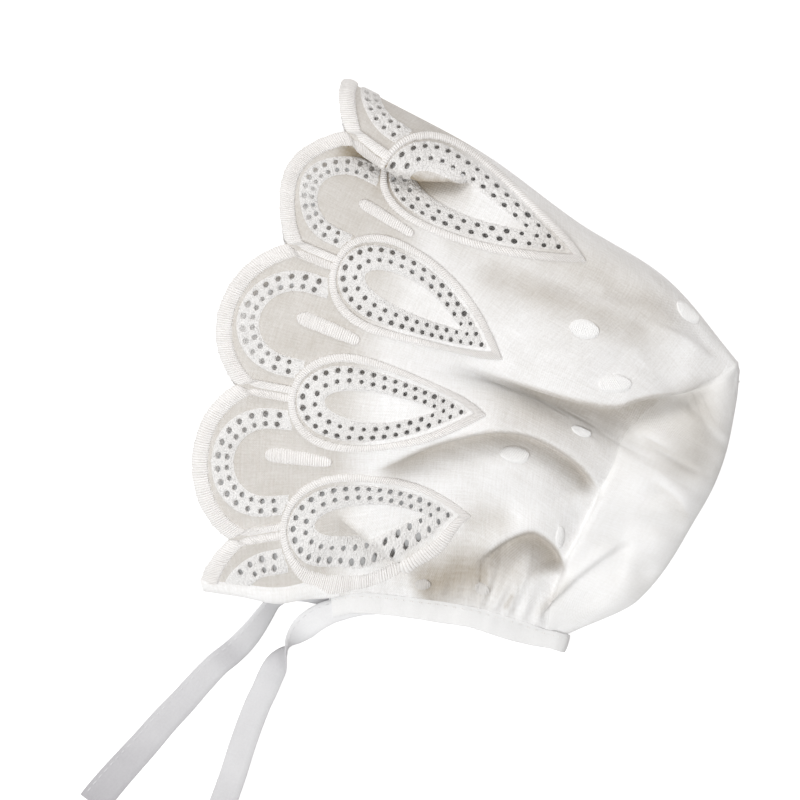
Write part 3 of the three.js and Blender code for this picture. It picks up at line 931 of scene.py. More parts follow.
# ---- making pieces ----
@dataclass
class Form:
    """Points, faces, measures and finishes of one piece, from which its object is made."""

    points: Array
    faces: Array
    measures: Array
    finish_of_face: Array | None = None
    # Painted shade at each point, when it is given instead of worked out from the places of painted shade.
    painted_shade: Array | None = None

    def build(self, name: str, finishes: Sequence[Finish]) -> bpy.types.Object:
        """Make the object.

        Args:
            name: Name of the piece.
            finishes: Its finishes, in the order that finish_of_face counts.

        Returns:
            The new object, which rides on the body.
        """
        mesh = bpy.data.meshes.new(name)
        mesh.from_pydata(self.points.tolist(), [], self.faces.tolist())
        corners = np.empty(len(mesh.loops), dtype=np.int32)
        mesh.loops.foreach_get("vertex_index", corners)
        layer = mesh.uv_layers.new(name="UVMap")
        layer.data.foreach_set("uv", (self.measures[corners] * UV_PER_MM).astype(np.float32).ravel())
        # The second UV layer carries the painted shade.
        if any(finish.sheer for finish in finishes):
            painted_shade = self.painted_shade if self.painted_shade is not None else painted_shade_at(self.points)
            pairs = stacked(painted_shade[corners], np.zeros(len(corners)))
            mesh.uv_layers.new(name="sheer").data.foreach_set("uv", pairs.astype(np.float32).ravel())
        mesh.polygons.foreach_set("use_smooth", np.ones(len(mesh.polygons), dtype=bool))
        for finish in finishes:
            mesh.materials.append(finish.material())
        if self.finish_of_face is not None:
            mesh.polygons.foreach_set("material_index", self.finish_of_face.astype(np.int32))
        mesh.update()
        mesh.set_sharp_from_angle(angle=SHARP_ANGLE)
        made = bpy.data.objects.new(name, mesh)
        bpy.context.scene.collection.objects.link(made)
        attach(made, "root")
        LOG.info("%s: %d faces", name, len(self.faces))
        return made


def rim_edges(faces: Array) -> Array:
    """Edges with one face, in the direction in which that face runs along them."""
    turned = np.roll(faces, -1, axis=1)
    edges = stacked(faces, turned).reshape(-1, 2)
    key = np.sort(edges, axis=1)
    _, place, uses = np.unique(key, axis=0, return_inverse=True, return_counts=True)
    return edges[uses[place.reshape(-1)] == 1]


def thin_sheet(net: Net, spots: Array, faces: Array, height: Array | float = 0.0,
               finish: Array | None = None) -> Form:
    """Closed sheet of cloth.

    Args:
        net: The laid cloth, or the panel.
        spots: The sheet's points, in the two measures of the net.
        faces: Triangles or quads of the outer face.
        height: How far the outer face stands above the net.
        finish: Number of the finish of each face, if there is more than one.

    Returns:
        The closed form.
    """
    count = len(spots)
    rim = rim_edges(faces)
    wall = stacked(rim[:, 1], rim[:, 0], rim[:, 0] + count, rim[:, 1] + count)
    if faces.shape[1] == 3:
        wall = np.concatenate([wall[:, [0, 1, 2]], wall[:, [0, 2, 3]]])
    if finish is not None:
        finish = np.concatenate([finish, finish, np.full(len(wall), finish.max())])
    layers = [net.at(*spots.T, level) for level in (height, -CLOTH_THICKNESS)]
    return Form(np.concatenate(layers), np.concatenate([faces, faces[:, ::-1] + count, wall]),
                np.concatenate([spots, spots]), finish)


def strip_faces(rows: int, columns: int, closed_rows: bool = False, closed_columns: bool = False) -> Array:
    """Quads of a grid of points that is stored row by row.

    Args:
        rows: Number of rows.
        columns: Number of points in a row.
        closed_rows: Whether the last row joins the first.
        closed_columns: Whether each row's last point joins its first.

    Returns:
        Quads as rows of four numbers.
    """
    r = np.arange(rows if closed_rows else rows - 1)
    c = np.arange(columns if closed_columns else columns - 1)
    row, column = (grid.ravel() for grid in np.meshgrid(r, c, indexing="ij"))
    next_row = (row + 1) % rows
    next_column = (column + 1) % columns
    return stacked(row * columns + column, next_row * columns + column,
                   next_row * columns + next_column, row * columns + next_column)


def capped_tube(rings: Array, measures: Array) -> Form:
    """Closed tube through rings of points, with a fan at each end.

    Args:
        rings: Points as [station, place round the ring, axis].
        measures: Their own measures as [station, place, 2].

    Returns:
        The closed form, of triangles.
    """
    stations, around = rings.shape[:2]
    faces = strip_faces(stations, around, closed_columns=True)
    points = rings.reshape(-1, 3)
    flat = measures.reshape(-1, 2)
    ends = np.stack([rings[0].mean(axis=0), rings[-1].mean(axis=0)])
    end_measures = np.stack([measures[0].mean(axis=0), measures[-1].mean(axis=0)])
    ring = np.arange(around)
    after = (ring + 1) % around
    first = stacked(ring, after, np.full(around, len(points)))
    last = stacked(after, ring, np.full(around, len(points) + 1))
    last[:, :2] += (stations - 1) * around
    triangles = np.concatenate([faces[:, [0, 1, 2]], faces[:, [0, 2, 3]], first, last])
    return Form(np.concatenate([points, ends]), triangles, np.concatenate([flat, end_measures]))


# ---- the embroidery pattern ----
ROUND_POINTS = 40
TAPER_POINTS = 60
LEG_POINTS = 10


@dataclass(frozen=True)
class LeafCurve:
    """A leaf-shaped line about a leaf's centre: a round end in front that tapers to a point behind."""

    start: float
    tip: float
    half_width: float
    widest: float = 0.29

    def side(self) -> Array:
        """Points [offset, depth] of the neckward side, from the middle of the round end to the tip."""
        angle = np.linspace(0, np.pi / 2, ROUND_POINTS)
        taper = np.linspace(self.widest, 1, TAPER_POINTS)[1:]
        share = np.concatenate([self.widest * (1 - np.cos(angle)), taper])
        width = np.concatenate([np.sin(angle), np.cos(np.pi / 2 * (taper - self.widest) / (1 - self.widest))])
        return stacked(self.half_width * width, self.start + (self.tip - self.start) * share)

    def loop(self, spacing: float) -> Array:
        """Closed line of points about a spacing apart, from the round end over the neckward side."""
        side = self.side()
        half = resample(side, max(int(run_length(side) / spacing), 4) + 1)
        return np.concatenate([half, half[-2:0:-1] * (-1, 1)])

    def holds(self, spots: Array) -> Array:
        """Which of the spots lie inside the line."""
        side = self.side()
        width = np.interp(spots[:, 1], side[:, 1], side[:, 0], left=-1.0, right=-1.0)
        return np.abs(spots[:, 0]) < width


@dataclass(frozen=True)
class PetalCurve:
    """A horseshoe line about a petal's centre, whose legs part a little."""

    half_width: float
    front: float
    centre: float = 13.0
    spread: float = 0.06
    legs: float = 5.5

    def side(self) -> Array:
        """Points [offset, depth] of one side, from the middle of the front to the end of the leg."""
        angle = np.linspace(0, np.pi / 2, ROUND_POINTS)
        leg = np.linspace(0, self.legs, LEG_POINTS)[1:]
        offset = np.concatenate([self.half_width * np.sin(angle), self.half_width + self.spread * leg])
        depth = np.concatenate([self.centre - (self.centre - self.front) * np.cos(angle), self.centre + leg])
        return stacked(offset, depth)

    def holds(self, spots: Array) -> Array:
        """Which spots, as [distance from the petal's centre, depth], lie inside the line."""
        ahead = np.clip((self.centre - spots[:, 1]) / (self.centre - self.front), 0, 1)
        parted = self.spread * np.maximum(spots[:, 1] - self.centre, 0)
        width = self.half_width * np.sqrt(1 - ahead ** 2) + parted
        within = (spots[:, 1] > self.front) & (spots[:, 1] < self.centre + self.legs)
        return within & (np.abs(spots[:, 0]) < width)


LEAF_OUTLINE = LeafCurve(LEAF_START, LEAF_TIP, LEAF_HALF_WIDTH)


def scallop_depth(from_middle: Array) -> Array:
    """Depth of the scalloped edge at distances from a petal's middle."""
    return SCALLOP_RADIUS - SCALLOP_RISE - np.sqrt(SCALLOP_RADIUS ** 2 - from_middle ** 2)


def front_depth(offsets: Array) -> Array:
    """Depth of the scalloped edge at distances from a leaf's centre."""
    return scallop_depth(np.clip(HALF_PITCH - np.abs(offsets), 0, HALF_PITCH))


@dataclass(frozen=True)
class Eyelet:
    """One stitched hole, in a leaf's own measures."""

    offset: float
    depth: float
    half_across: float
    half_deep: float

    def ring(self, grow: float, count: int) -> Array:
        """Points round the hole, at a distance outside its edge."""
        turn = np.linspace(0, 2 * np.pi, count, endpoint=False) + self.depth
        return stacked(self.offset + (self.half_across + grow) * np.sin(turn),
                       self.depth + (self.half_deep + grow) * np.cos(turn))

    def reach(self, spots: Array, grow: float) -> Array:
        """How far out spots lie, with 1 at a distance outside the hole's edge."""
        return np.hypot((spots[:, 0] - self.offset) / (self.half_across + grow),
                        (spots[:, 1] - self.depth) / (self.half_deep + grow))


@dataclass
class SpotList:
    """Spots of a flat pattern, kept apart from each other, with the lines that join some of them."""

    spots: list[Pair] = field(default_factory=list)
    lines: list[tuple[int, int]] = field(default_factory=list)
    _cells: dict[tuple[int, int], list[int]] = field(default_factory=dict)

    def _cell(self, spot: Sequence[float]) -> tuple[int, int]:
        """Cell that holds a spot."""
        return math.floor(spot[0]), math.floor(spot[1])

    def free(self, spot: Sequence[float], apart: float) -> bool:
        """Whether no spot lies within a distance of one millimetre or less."""
        i, j = self._cell(spot)
        for a in (i - 1, i, i + 1):
            for b in (j - 1, j, j + 1):
                for k in self._cells.get((a, b), ()):
                    if math.dist(self.spots[k], spot) < apart:
                        return False
        return True

    def put(self, spot: Sequence[float]) -> int:
        """Add a spot and return its number."""
        self.spots.append((float(spot[0]), float(spot[1])))
        self._cells.setdefault(self._cell(spot), []).append(len(self.spots) - 1)
        return len(self.spots) - 1

    def line(self, points: Array, closed: bool = False) -> None:
        """Add a line of spots that stay joined."""
        numbers = [self.put(point) for point in points]
        self.lines += list(zip(numbers, numbers[1:]))
        if closed:
            self.lines.append((numbers[-1], numbers[0]))

    def loose(self, points: Array, apart: float) -> None:
        """Add those spots that keep their distance from the ones that are there."""
        for point in points:
            if self.free(point, apart):
                self.put(point)


@dataclass
class LaceTile:
    """One repeat of the lace: a leaf with half a petal on each side, in the leaf's own measures.

    "limit" is how far it reaches neckward of the leaf's centre: less than half a pitch at the neck.
    """

    limit: float = HALF_PITCH
    outline: LeafCurve = LEAF_OUTLINE
    leaf_band: LeafCurve = LeafCurve(18.5, 73.5, 14.2)
    leaf_core: LeafCurve = LeafCurve(26.9, 63.5, 5.3, 0.36)
    leaf_rows: tuple[LeafCurve, LeafCurve] = (LeafCurve(20.2, 71.5, 12.5), LeafCurve(24.0, 65.5, 8.6))
    petal_band: PetalCurve = PetalCurve(19.4, -5.6)
    petal_core: PetalCurve = PetalCurve(12.3, 1.3)
    petal_rows: tuple[PetalCurve, PetalCurve] = (PetalCurve(17.4, -3.6), PetalCurve(14.1, -0.8))
    leaf_spacing: float = 3.75
    petal_spacing: Pair = (4.3, 3.5)
    eyelet_sizes: tuple[Pair, Pair] = ((1.05, 0.8), (0.92, 0.72))
    size_spread: Pair = (0.9, 1.1)
    tip_start: float = 62.0
    tip_share: float = 0.72
    eyelets_apart: float = 2.5
    petal_clear: float = 2.2
    hem: float = 5.2
    band_spacing: float = 0.85
    core_spacing: float = 0.8
    corner: float = -10.0
    gap: float = 0.3
    inset: float = 0.4
    rim_points: int = 11
    shoulder_points: int = 13
    shoulders: tuple[Pair, Pair] = ((0.4, 0.3), (0.85, 0.34))
    fillings: tuple[tuple[float, bool, float], ...] = ((1.0, True, 0.55), (1.7, False, 0.9))
    row_share: float = 0.87
    band_rise: float = 0.55
    band_edge: float = 0.45
    rim_height: float = 0.45
    rim_width: float = 0.4
    swell: float = 1.25
    dip: float = 0.42
    dip_start: float = 0.55
    dip_width: float = 0.8
    holes: list[Eyelet] = field(default_factory=list)

    def __post_init__(self) -> None:
        """Lay out the eyelets."""
        self.holes = self._eyelets()

    def petal_places(self, spots: Array) -> Array:
        """Spots as [distance from the nearer petal's centre, depth]."""
        return stacked(HALF_PITCH - np.abs(spots[:, 0]), spots[:, 1])

    def banded(self, spots: Array) -> Array:
        """Which spots lie in the stitched bands that carry the eyelets."""
        leaf = self.leaf_band.holds(spots) & ~self.leaf_core.holds(spots)
        places = self.petal_places(spots)
        petal = self.petal_band.holds(places) & ~self.petal_core.holds(places) & ~self.outline.holds(spots)
        return leaf | petal

    def _eyelets(self) -> list[Eyelet]:
        """All the eyelets, those of the outer rows first."""
        rng = np.random.default_rng(Seed.EYELETS)
        found: list[Eyelet] = []
        fine = 0.1
        for row, curve in enumerate(self.leaf_rows):
            loop = curve.loop(fine)
            closed = np.concatenate([loop, loop[:1]])
            count = round(run_length(closed) / self.leaf_spacing)
            along = resample(closed, count * 2 + 1)[row::2][:count]
            for offset, depth in along:
                self._try(found, offset, depth, self.eyelet_sizes[row], rng, 0.0)
        for row, curve in enumerate(self.petal_rows):
            side = curve.side()
            spacing = self.petal_spacing[row]
            along = resample(side, int(run_length(side) / fine))
            for k in range(int(run_length(side) / spacing)):
                away, depth = along[min(int((k + 0.5) * spacing / fine), len(along) - 1)]
                for way in (-1, 1):
                    self._try(found, way * (HALF_PITCH - away), depth, self.eyelet_sizes[row], rng,
                              self.petal_clear)
        return found

    def _try(self, found: list[Eyelet], offset: float, depth: float, size: Pair,
             rng: np.random.Generator, clear: float) -> None:
        """Keep an eyelet if it is clear of the others, of the leaf's edge and of the neck hem."""
        grow = rng.uniform(*self.size_spread)
        small = self.tip_share if depth > self.tip_start else 1.0
        if any(math.hypot(offset - hole.offset, depth - hole.depth) < self.eyelets_apart for hole in found):
            return
        if clear and np.linalg.norm(self.outline.loop(0.5) - (offset, depth), axis=1).min() < clear:
            return
        if clear and self.outline.holds(np.array([[offset, depth]]))[0]:
            return
        if self.limit < HALF_PITCH and offset > self.limit - self.hem - size[0]:
            return
        found.append(Eyelet(offset, depth, size[0] * grow * small, size[1] * grow * small))

    def _band_lines(self) -> list[tuple[Array, bool]]:
        """The edges of the stitched bands, and whether each is closed."""
        lines = [(self.leaf_band.loop(self.band_spacing), True),
                 (self.leaf_core.loop(self.core_spacing), True)]
        for curve in (self.petal_band, self.petal_core):
            side = curve.side()
            half = resample(side, int(run_length(side) / self.band_spacing))
            for way in (-1, 1):
                spots = stacked(way * (HALF_PITCH - half[:, 0]), half[:, 1])
                keep = ~self.outline.holds(spots) & (np.abs(spots[:, 0]) < HALF_PITCH + 1e-6)
                keep &= spots[:, 0] < self.limit - self.gap
                keep |= np.isclose(np.abs(spots[:, 0]), HALF_PITCH) & (self.limit == HALF_PITCH)
                spots = spots[keep]
                if len(spots) > 2:
                    lines.append((spots, False))
        return lines

    def cut(self) -> tuple[Array, Array]:
        """Divide the tile into triangles round its eyelets.

        Returns:
            Spots as [offset, depth], and triangles that turn from offset to depth.
        """
        low = -HALF_PITCH
        spots = SpotList()
        front_offsets = np.linspace(low, self.limit, round((self.limit - low) / CELL) + 1)
        front = stacked(front_offsets, front_depth(front_offsets))
        rows = np.arange(self.corner, LACE_END - 0.6 * CELL, CELL)
        back_offsets = np.arange(self.limit, low - 0.01, -CELL)
        neck = stacked(np.full(len(rows), self.limit), rows)
        crown = stacked(np.full(len(rows), low), rows[::-1])
        back = stacked(back_offsets, np.full(len(back_offsets), LACE_END))
        spots.line(np.concatenate([front, neck, back, crown]), closed=True)
        for hole in self.holes:
            spots.line(hole.ring(0.0, self.rim_points), closed=True)
        band_lines = self._band_lines()
        for line, closed in band_lines:
            kept = [point for point in line
                    if spots.free(point, self.gap) and point[0] < self.limit - self.gap]
            if len(kept) == len(line):
                spots.line(line, closed)
            else:
                spots.loose(np.array(kept), self.gap)
        for line, _ in band_lines:
            run = np.gradient(line, axis=0)
            away = unit(stacked(-run[:, 1], run[:, 0])) * self.inset
            spots.loose(self._within(np.concatenate([line + away, line - away])), self.gap)
        for outside, apart in self.shoulders:
            for hole in self.holes:
                spots.loose(self._within(hole.ring(outside, self.shoulder_points)), apart)
        for pitch, banded, apart in self.fillings:
            spots.loose(self._within(self._lattice(pitch, banded)), apart)
        flat = [Vector(spot) for spot in spots.spots]
        verts, _, faces, _, _, _ = delaunay_2d_cdt(flat, spots.lines, [], 0, 1e-5)
        plan = np.array([[v.x, v.y] for v in verts])
        triangles = np.array([face for face in faces if len(face) == 3])
        middle = plan[triangles].mean(axis=1)
        inside = middle[:, 1] > front_depth(middle[:, 0])
        for hole in self.holes:
            inside &= hole.reach(middle, 0.0) > 1.0
        return plan, triangles[inside]

    def _within(self, points: Array) -> Array:
        """Those points that are well inside the tile and outside its eyelets."""
        off_rim = 0.1
        keep = (points[:, 0] > -HALF_PITCH + self.gap) & (points[:, 0] < self.limit - self.gap)
        keep &= points[:, 1] > front_depth(points[:, 0]) + self.inset
        keep &= points[:, 1] < LACE_END - self.inset
        for hole in self.holes:
            keep &= hole.reach(points, off_rim) > 1.0
        return points[keep]

    def _lattice(self, pitch: float, banded: bool) -> Array:
        """Regular spots in the stitched bands, or outside them."""
        offsets = np.arange(-HALF_PITCH, self.limit, pitch)
        depths = np.arange(self.corner - 2, LACE_END, pitch * self.row_share)
        a, b = np.meshgrid(offsets, depths, indexing="ij")
        a = a + np.where(np.arange(len(depths)) % 2, pitch / 2, 0.0)
        points = stacked(a.ravel(), b.ravel())
        return points[self.banded(points) == banded]

    @staticmethod
    def _tree(spots: Sequence[Pair]) -> KDTree:
        """Search tree of spots of the tile."""
        tree = KDTree(len(spots))
        for number, spot in enumerate(spots):
            tree.insert((*spot, 0), number)
        tree.balance()
        return tree

    def heights(self, spots: Array) -> Array:
        """How far the stitching stands above the cloth at spots of the tile."""
        edges = self._tree(np.concatenate([line for line, _ in self._band_lines()]))
        rims = self._tree([(hole.offset, hole.depth) for hole in self.holes])
        banded = self.banded(spots)
        height = np.zeros(len(spots))
        for k in np.nonzero(banded)[0]:
            spot = (spots[k, 0], spots[k, 1], 0)
            to_edge = edges.find(spot)[2]
            hole = self.holes[rims.find(spot)[1]]
            reach = math.hypot((spots[k, 0] - hole.offset) / hole.half_across,
                               (spots[k, 1] - hole.depth) / hole.half_deep)
            to_hole = (reach - 1) * (hole.half_across + hole.half_deep) / 2
            rim = smooth_step(to_hole / self.rim_width)
            dip = smooth_step((to_hole - self.dip_start) / self.dip_width)
            edge = smooth_step(to_edge / self.band_edge)
            shoulder = self.rim_height + (1 - self.rim_height) * rim
            height[k] = self.band_rise * (shoulder * self.swell - self.dip * dip) * edge
        return height


@dataclass(frozen=True)
class SatinStitch:
    """Ribs of satin stitch that cross from one line of the pattern to another."""

    rib: float = 0.74
    rise: float = 1.05
    under: float = 0.55
    ripple: float = 0.17
    ragged: float = 0.17
    samples: int = 4
    crest: tuple[float, ...] = (-0.12, 0.55, 0.86, 0.99, 1.0, 0.88, 0.58, -0.12)
    places: tuple[float, ...] = (0.0, 0.07, 0.22, 0.42, 0.62, 0.81, 0.94, 1.0)
    places_beneath: tuple[float, ...] = (0.85, 0.5, 0.15)
    uneven: float = 0.07
    sway: float = 0.05

    def form(self, net: Net, outer: Array, inner: Array, closed: bool, seed: int) -> Form:
        """Lay the stitches on the cloth.

        Args:
            net: The laid cloth.
            outer: Points [across, depth] of one edge of the stitches.
            inner: Points of the other edge.
            closed: Whether the two lines are closed loops.
            seed: Which unevenness.

        Returns:
            The stitched band as a closed form.
        """
        middle = (outer + inner) / 2
        if closed:
            outer, inner, middle = (np.concatenate([line, line[:1]]) for line in (outer, inner, middle))
        ribs = max(round(run_length(middle) / self.rib), 3)
        count = ribs * self.samples + 1
        outer = self._even(outer, middle, count)
        inner = self._even(inner, middle, count)
        if closed:
            outer = outer[:-1]
            inner = inner[:-1]
        stations = len(outer)
        rng = np.random.default_rng(seed)
        number = (np.arange(stations) // self.samples) % ribs
        phase = np.cos(2 * np.pi * (np.arange(stations) % self.samples) / self.samples)
        lift = 1 - self.ripple * phase + rng.uniform(-self.uneven, self.uneven, ribs)[number]
        across = unit(inner - outer)
        width = np.linalg.norm(inner - outer, axis=1)
        stray = rng.uniform(-self.ragged, self.ragged, (2, ribs))[:, number] - self.sway * phase
        place = np.array(self.places + self.places_beneath) * width[:, None]
        last = len(self.places) - 1
        place[:, 0] += stray[0]
        place[:, last] += stray[1]
        height = np.full(place.shape, -self.under)
        height[:, :last + 1] = self.rise * np.array(self.crest) * lift[:, None]
        height[:, [0, last]] = self.crest[0]
        spots = outer[:, None, :] + across[:, None, :] * place[..., None]
        rings = net.at(spots[..., 0], spots[..., 1], height)
        along = np.arange(stations) * self.rib / self.samples
        measures = stacked(*np.broadcast_arrays(along[:, None], place))
        if not closed:
            return capped_tube(rings, measures)
        faces = strip_faces(*place.shape, closed_rows=True, closed_columns=True)
        return Form(rings.reshape(-1, 3), faces, measures.reshape(-1, 2))

    @staticmethod
    def _even(line: Array, guide: Array, count: int) -> Array:
        """A line's points at even steps of a guide line with as many points."""
        along = distances(guide)
        return read_line(line, along, np.linspace(0, along[-1], count))


def facing_out(form: Form) -> Form:
    """Turn a closed form's faces over if they look inward."""
    tris = form.faces[:, :3]
    a, b, c = (form.points[tris[:, k]] for k in range(3))
    volume = np.einsum("ij,ij->i", a, np.cross(b, c)).sum()
    if form.faces.shape[1] == 4:
        a, b, c = (form.points[form.faces[:, k]] for k in (0, 2, 3))
        volume += np.einsum("ij,ij->i", a, np.cross(b, c)).sum()
    if volume < 0:
        form.faces = form.faces[:, ::-1]
    return form


# ---- the bonnet's sub-assemblies ----
@dataclass
class LaceFront:
    """The scalloped front: batiste with bands of eyelets, satin borders, bars and leaves."""

    net: Net
    border_width: float = 4.9
    edge_wrap: float = 0.3
    wrap_end: float = 0.08
    stem: float = 2.7
    notch_gap: float = 0.05
    under_leaf: float = 1.2
    pinch: float = 0.75
    pinch_depth: float = 3.2
    pinch_length: float = 1.5
    corner_hem: float = 0.6
    line_points: int = 60
    stem_points: int = 40
    leaf_points: int = 120
    leaf_border_inner: LeafCurve = LeafCurve(18.2, 75.6, 15.8)
    bar_starts: Triple = (16.0, 12.0, 11.0)
    bar_length: float = 20.5
    bar_half_width: float = 2.9
    bar_ends: Pair = (2.4, 1.9)
    bar_lean: float = -2.8
    bar_bend: float = 26.0
    edge_stitch: SatinStitch = SatinStitch(crest=(-0.3, 0.2, 0.5, 0.92, 1.0, 0.96, 0.74, -0.12))
    bar_stitch: SatinStitch = SatinStitch(rib=0.72, rise=1.0, ripple=0.18)
    leaf_stitch: SatinStitch = SatinStitch(rise=1.0)

    def build(self) -> None:
        """Make every piece of the front."""
        tiles = {limit: LaceTile(limit) for limit in (HALF_PITCH, NECK_LIMIT)}
        cuts = {limit: tile.cut() for limit, tile in tiles.items()}
        raised = {limit: tile.heights(cuts[limit][0]) for limit, tile in tiles.items()}
        for half in Half:
            self._cloth(half, tiles, cuts, raised)
        for number in range(1 - LEAVES_PER_HALF, LEAVES_PER_HALF):
            self._petal_border(number)
            if number:
                self._bar(number)
        for half in Half:
            self._corner_border(half)
            for order in range(LEAVES_PER_HALF):
                self._leaf_border(half, order)

    def _cloth(self, half: Half, tiles: dict[float, LaceTile], cuts: dict[float, tuple[Array, Array]],
               raised: dict[float, Array]) -> None:
        """The embroidered cloth of one half, four repeats as one sheet."""
        spots, faces, heights, finish = [], [], [], []
        count = 0
        for order in range(LEAVES_PER_HALF):
            limit = HALF_PITCH if order < LEAVES_PER_HALF - 1 else NECK_LIMIT
            plan, triangles = cuts[limit]
            spots.append(plan + (HALF_PITCH + SCALLOP_PITCH * order, 0))
            heights.append(raised[limit])
            faces.append(triangles + count)
            finish.append(tiles[limit].banded(plan[triangles].mean(axis=1)).astype(int))
            count += len(plan)
        plan = np.concatenate(spots)
        _, first, place = np.unique(np.round(plan, 4), axis=0, return_index=True, return_inverse=True)
        triangles = place.reshape(-1)[np.concatenate(faces)]
        plan = plan[first]
        height = np.concatenate(heights)[first]
        if half is Half.RIGHT:
            triangles = triangles[:, ::-1]
        form = thin_sheet(self.net, plan * (half.value, 1), triangles, height, np.concatenate(finish))
        made = form.build(f"lace_cloth_{half.label}", (BATISTE, EYELET_STITCH))
        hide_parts("brim")

    def _petal_lines(self, start: float) -> tuple[Array, Array]:
        """Outer and inner edges of half a petal's border, from a distance off its middle to the leaf."""
        centre = SCALLOP_RADIUS - SCALLOP_RISE
        notch = math.asin(HALF_PITCH / SCALLOP_RADIUS)
        angle = np.linspace(math.asin(start / SCALLOP_RADIUS), notch, self.line_points)
        wrap = SCALLOP_RADIUS + self.edge_wrap * np.minimum(1, (notch - angle) / self.wrap_end)
        outer = stacked(wrap * np.sin(angle), centre - wrap * np.cos(angle))
        small = SCALLOP_RADIUS - self.border_width
        last = math.asin((HALF_PITCH - self.stem) / small)
        angle = np.linspace(math.asin(start / small), last, self.line_points)
        inner = stacked(small * np.sin(angle), centre - small * np.cos(angle))
        share = np.linspace(0, 1, self.stem_points)[1:]
        back = LEAF_START + self.under_leaf
        outer_depth = back * share
        pinch = self.pinch * np.exp(-((outer_depth - self.pinch_depth) / self.pinch_length) ** 2)
        outer_tail = stacked(HALF_PITCH - self.notch_gap - pinch, outer_depth)
        end_offset, end_depth = inner[-1]
        inner_tail = stacked(np.full(len(share), end_offset), end_depth + (back - end_depth) * share)
        return np.concatenate([outer, outer_tail]), np.concatenate([inner, inner_tail])

    def _petal_border(self, number: int) -> None:
        """Satin border of one whole petal; number 0 lies over the top fold."""
        outer, inner = self._petal_lines(0.0)
        mirror = np.array([-1, 1])
        outer = np.concatenate([outer[:0:-1] * mirror, outer])
        inner = np.concatenate([inner[:0:-1] * mirror, inner])
        middle = np.array([SCALLOP_PITCH * number, 0])
        form = self.edge_stitch.form(self.net, outer + middle, inner + middle, False,
                                     Seed.PETAL_BORDERS + number)
        place = f"{Half(np.sign(number)).label}_{abs(number)}" if number else "top"
        self._dress(form, f"petal_border_{place}")

    def _corner_border(self, half: Half) -> None:
        """Satin border of the part petal at the neck corner."""
        last_petal = SCALLOP_PITCH * LEAVES_PER_HALF
        flip = np.array([-half.value, 1])
        middle = np.array([last_petal * half.value, 0])
        outer, inner = (line * flip + middle
                        for line in self._petal_lines(last_petal - HALF_EDGE + self.corner_hem))
        form = self.edge_stitch.form(self.net, outer, inner, False, Seed.CORNER_BORDERS + half.value)
        self._dress(form, f"petal_border_{half.label}_corner")

    def _bar(self, number: int) -> None:
        """Satin bar in the middle of a petal."""
        away = np.linspace(0, self.bar_length, self.line_points)
        depth = self.bar_starts[abs(number) - 1] + away
        swelling = 0.1 * smooth_step(away / 6)
        slimming = 0.16 * smooth_step((away - 12) / 7)
        width = self.bar_half_width * self._rounded(away / self.bar_ends[0])
        width *= 0.9 + swelling - slimming
        width *= self._rounded((self.bar_length - away) / self.bar_ends[1])
        lean = self.bar_lean * (1 - smooth_step(away / self.bar_bend)) * np.sign(number)
        middle = SCALLOP_PITCH * number + lean
        outer = stacked(middle - width, depth)
        inner = stacked(middle + width, depth)
        form = self.bar_stitch.form(self.net, outer, inner, False, Seed.BARS + number)
        self._dress(form, f"petal_bar_{Half(np.sign(number)).label}_{abs(number)}")

    @staticmethod
    def _rounded(share: Array) -> Array:
        """Share of a bar's width at places from 0, at its rounded end, to 1, where it is full."""
        blunt = 0.06
        return np.sqrt(np.clip(1 - (1 - np.minimum(share, 1)) ** 2, blunt, 1))

    def _leaf_border(self, half: Half, order: int) -> None:
        """Satin border round one leaf."""
        sides = []
        for curve in (LEAF_OUTLINE, self.leaf_border_inner):
            side = resample(curve.side(), self.leaf_points)
            loop = np.concatenate([side, side[-2:0:-1] * (-1, 1)])
            sides.append(np.roll(loop, self.leaf_points, axis=0))
        centre = np.array([HALF_PITCH + SCALLOP_PITCH * order, 0])
        flip = np.array([half.value, 1])
        outer, inner = ((side + centre) * flip for side in sides)
        seed = Seed.LEAF_BORDERS + order * 2 + half.value
        form = self.leaf_stitch.form(self.net, outer, inner, True, seed)
        made = self._dress(form, f"leaf_border_{half.label}_{order + 1}")
        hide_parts(f"leaf_{half.label}_{order + 1}")

    def _dress(self, form: Form, name: str) -> bpy.types.Object:
        """Make one satin piece."""
        made = facing_out(form).build(name, (SATIN,))
        return made


@dataclass(frozen=True)
class Dot:
    """One embroidered dot: its place on the cloth, its turn in degrees, its size and if gathers hide it."""

    across: float
    depth: float
    turn: float
    half_length: float = 5.3
    half_width: float = 2.8
    sunk: bool = False


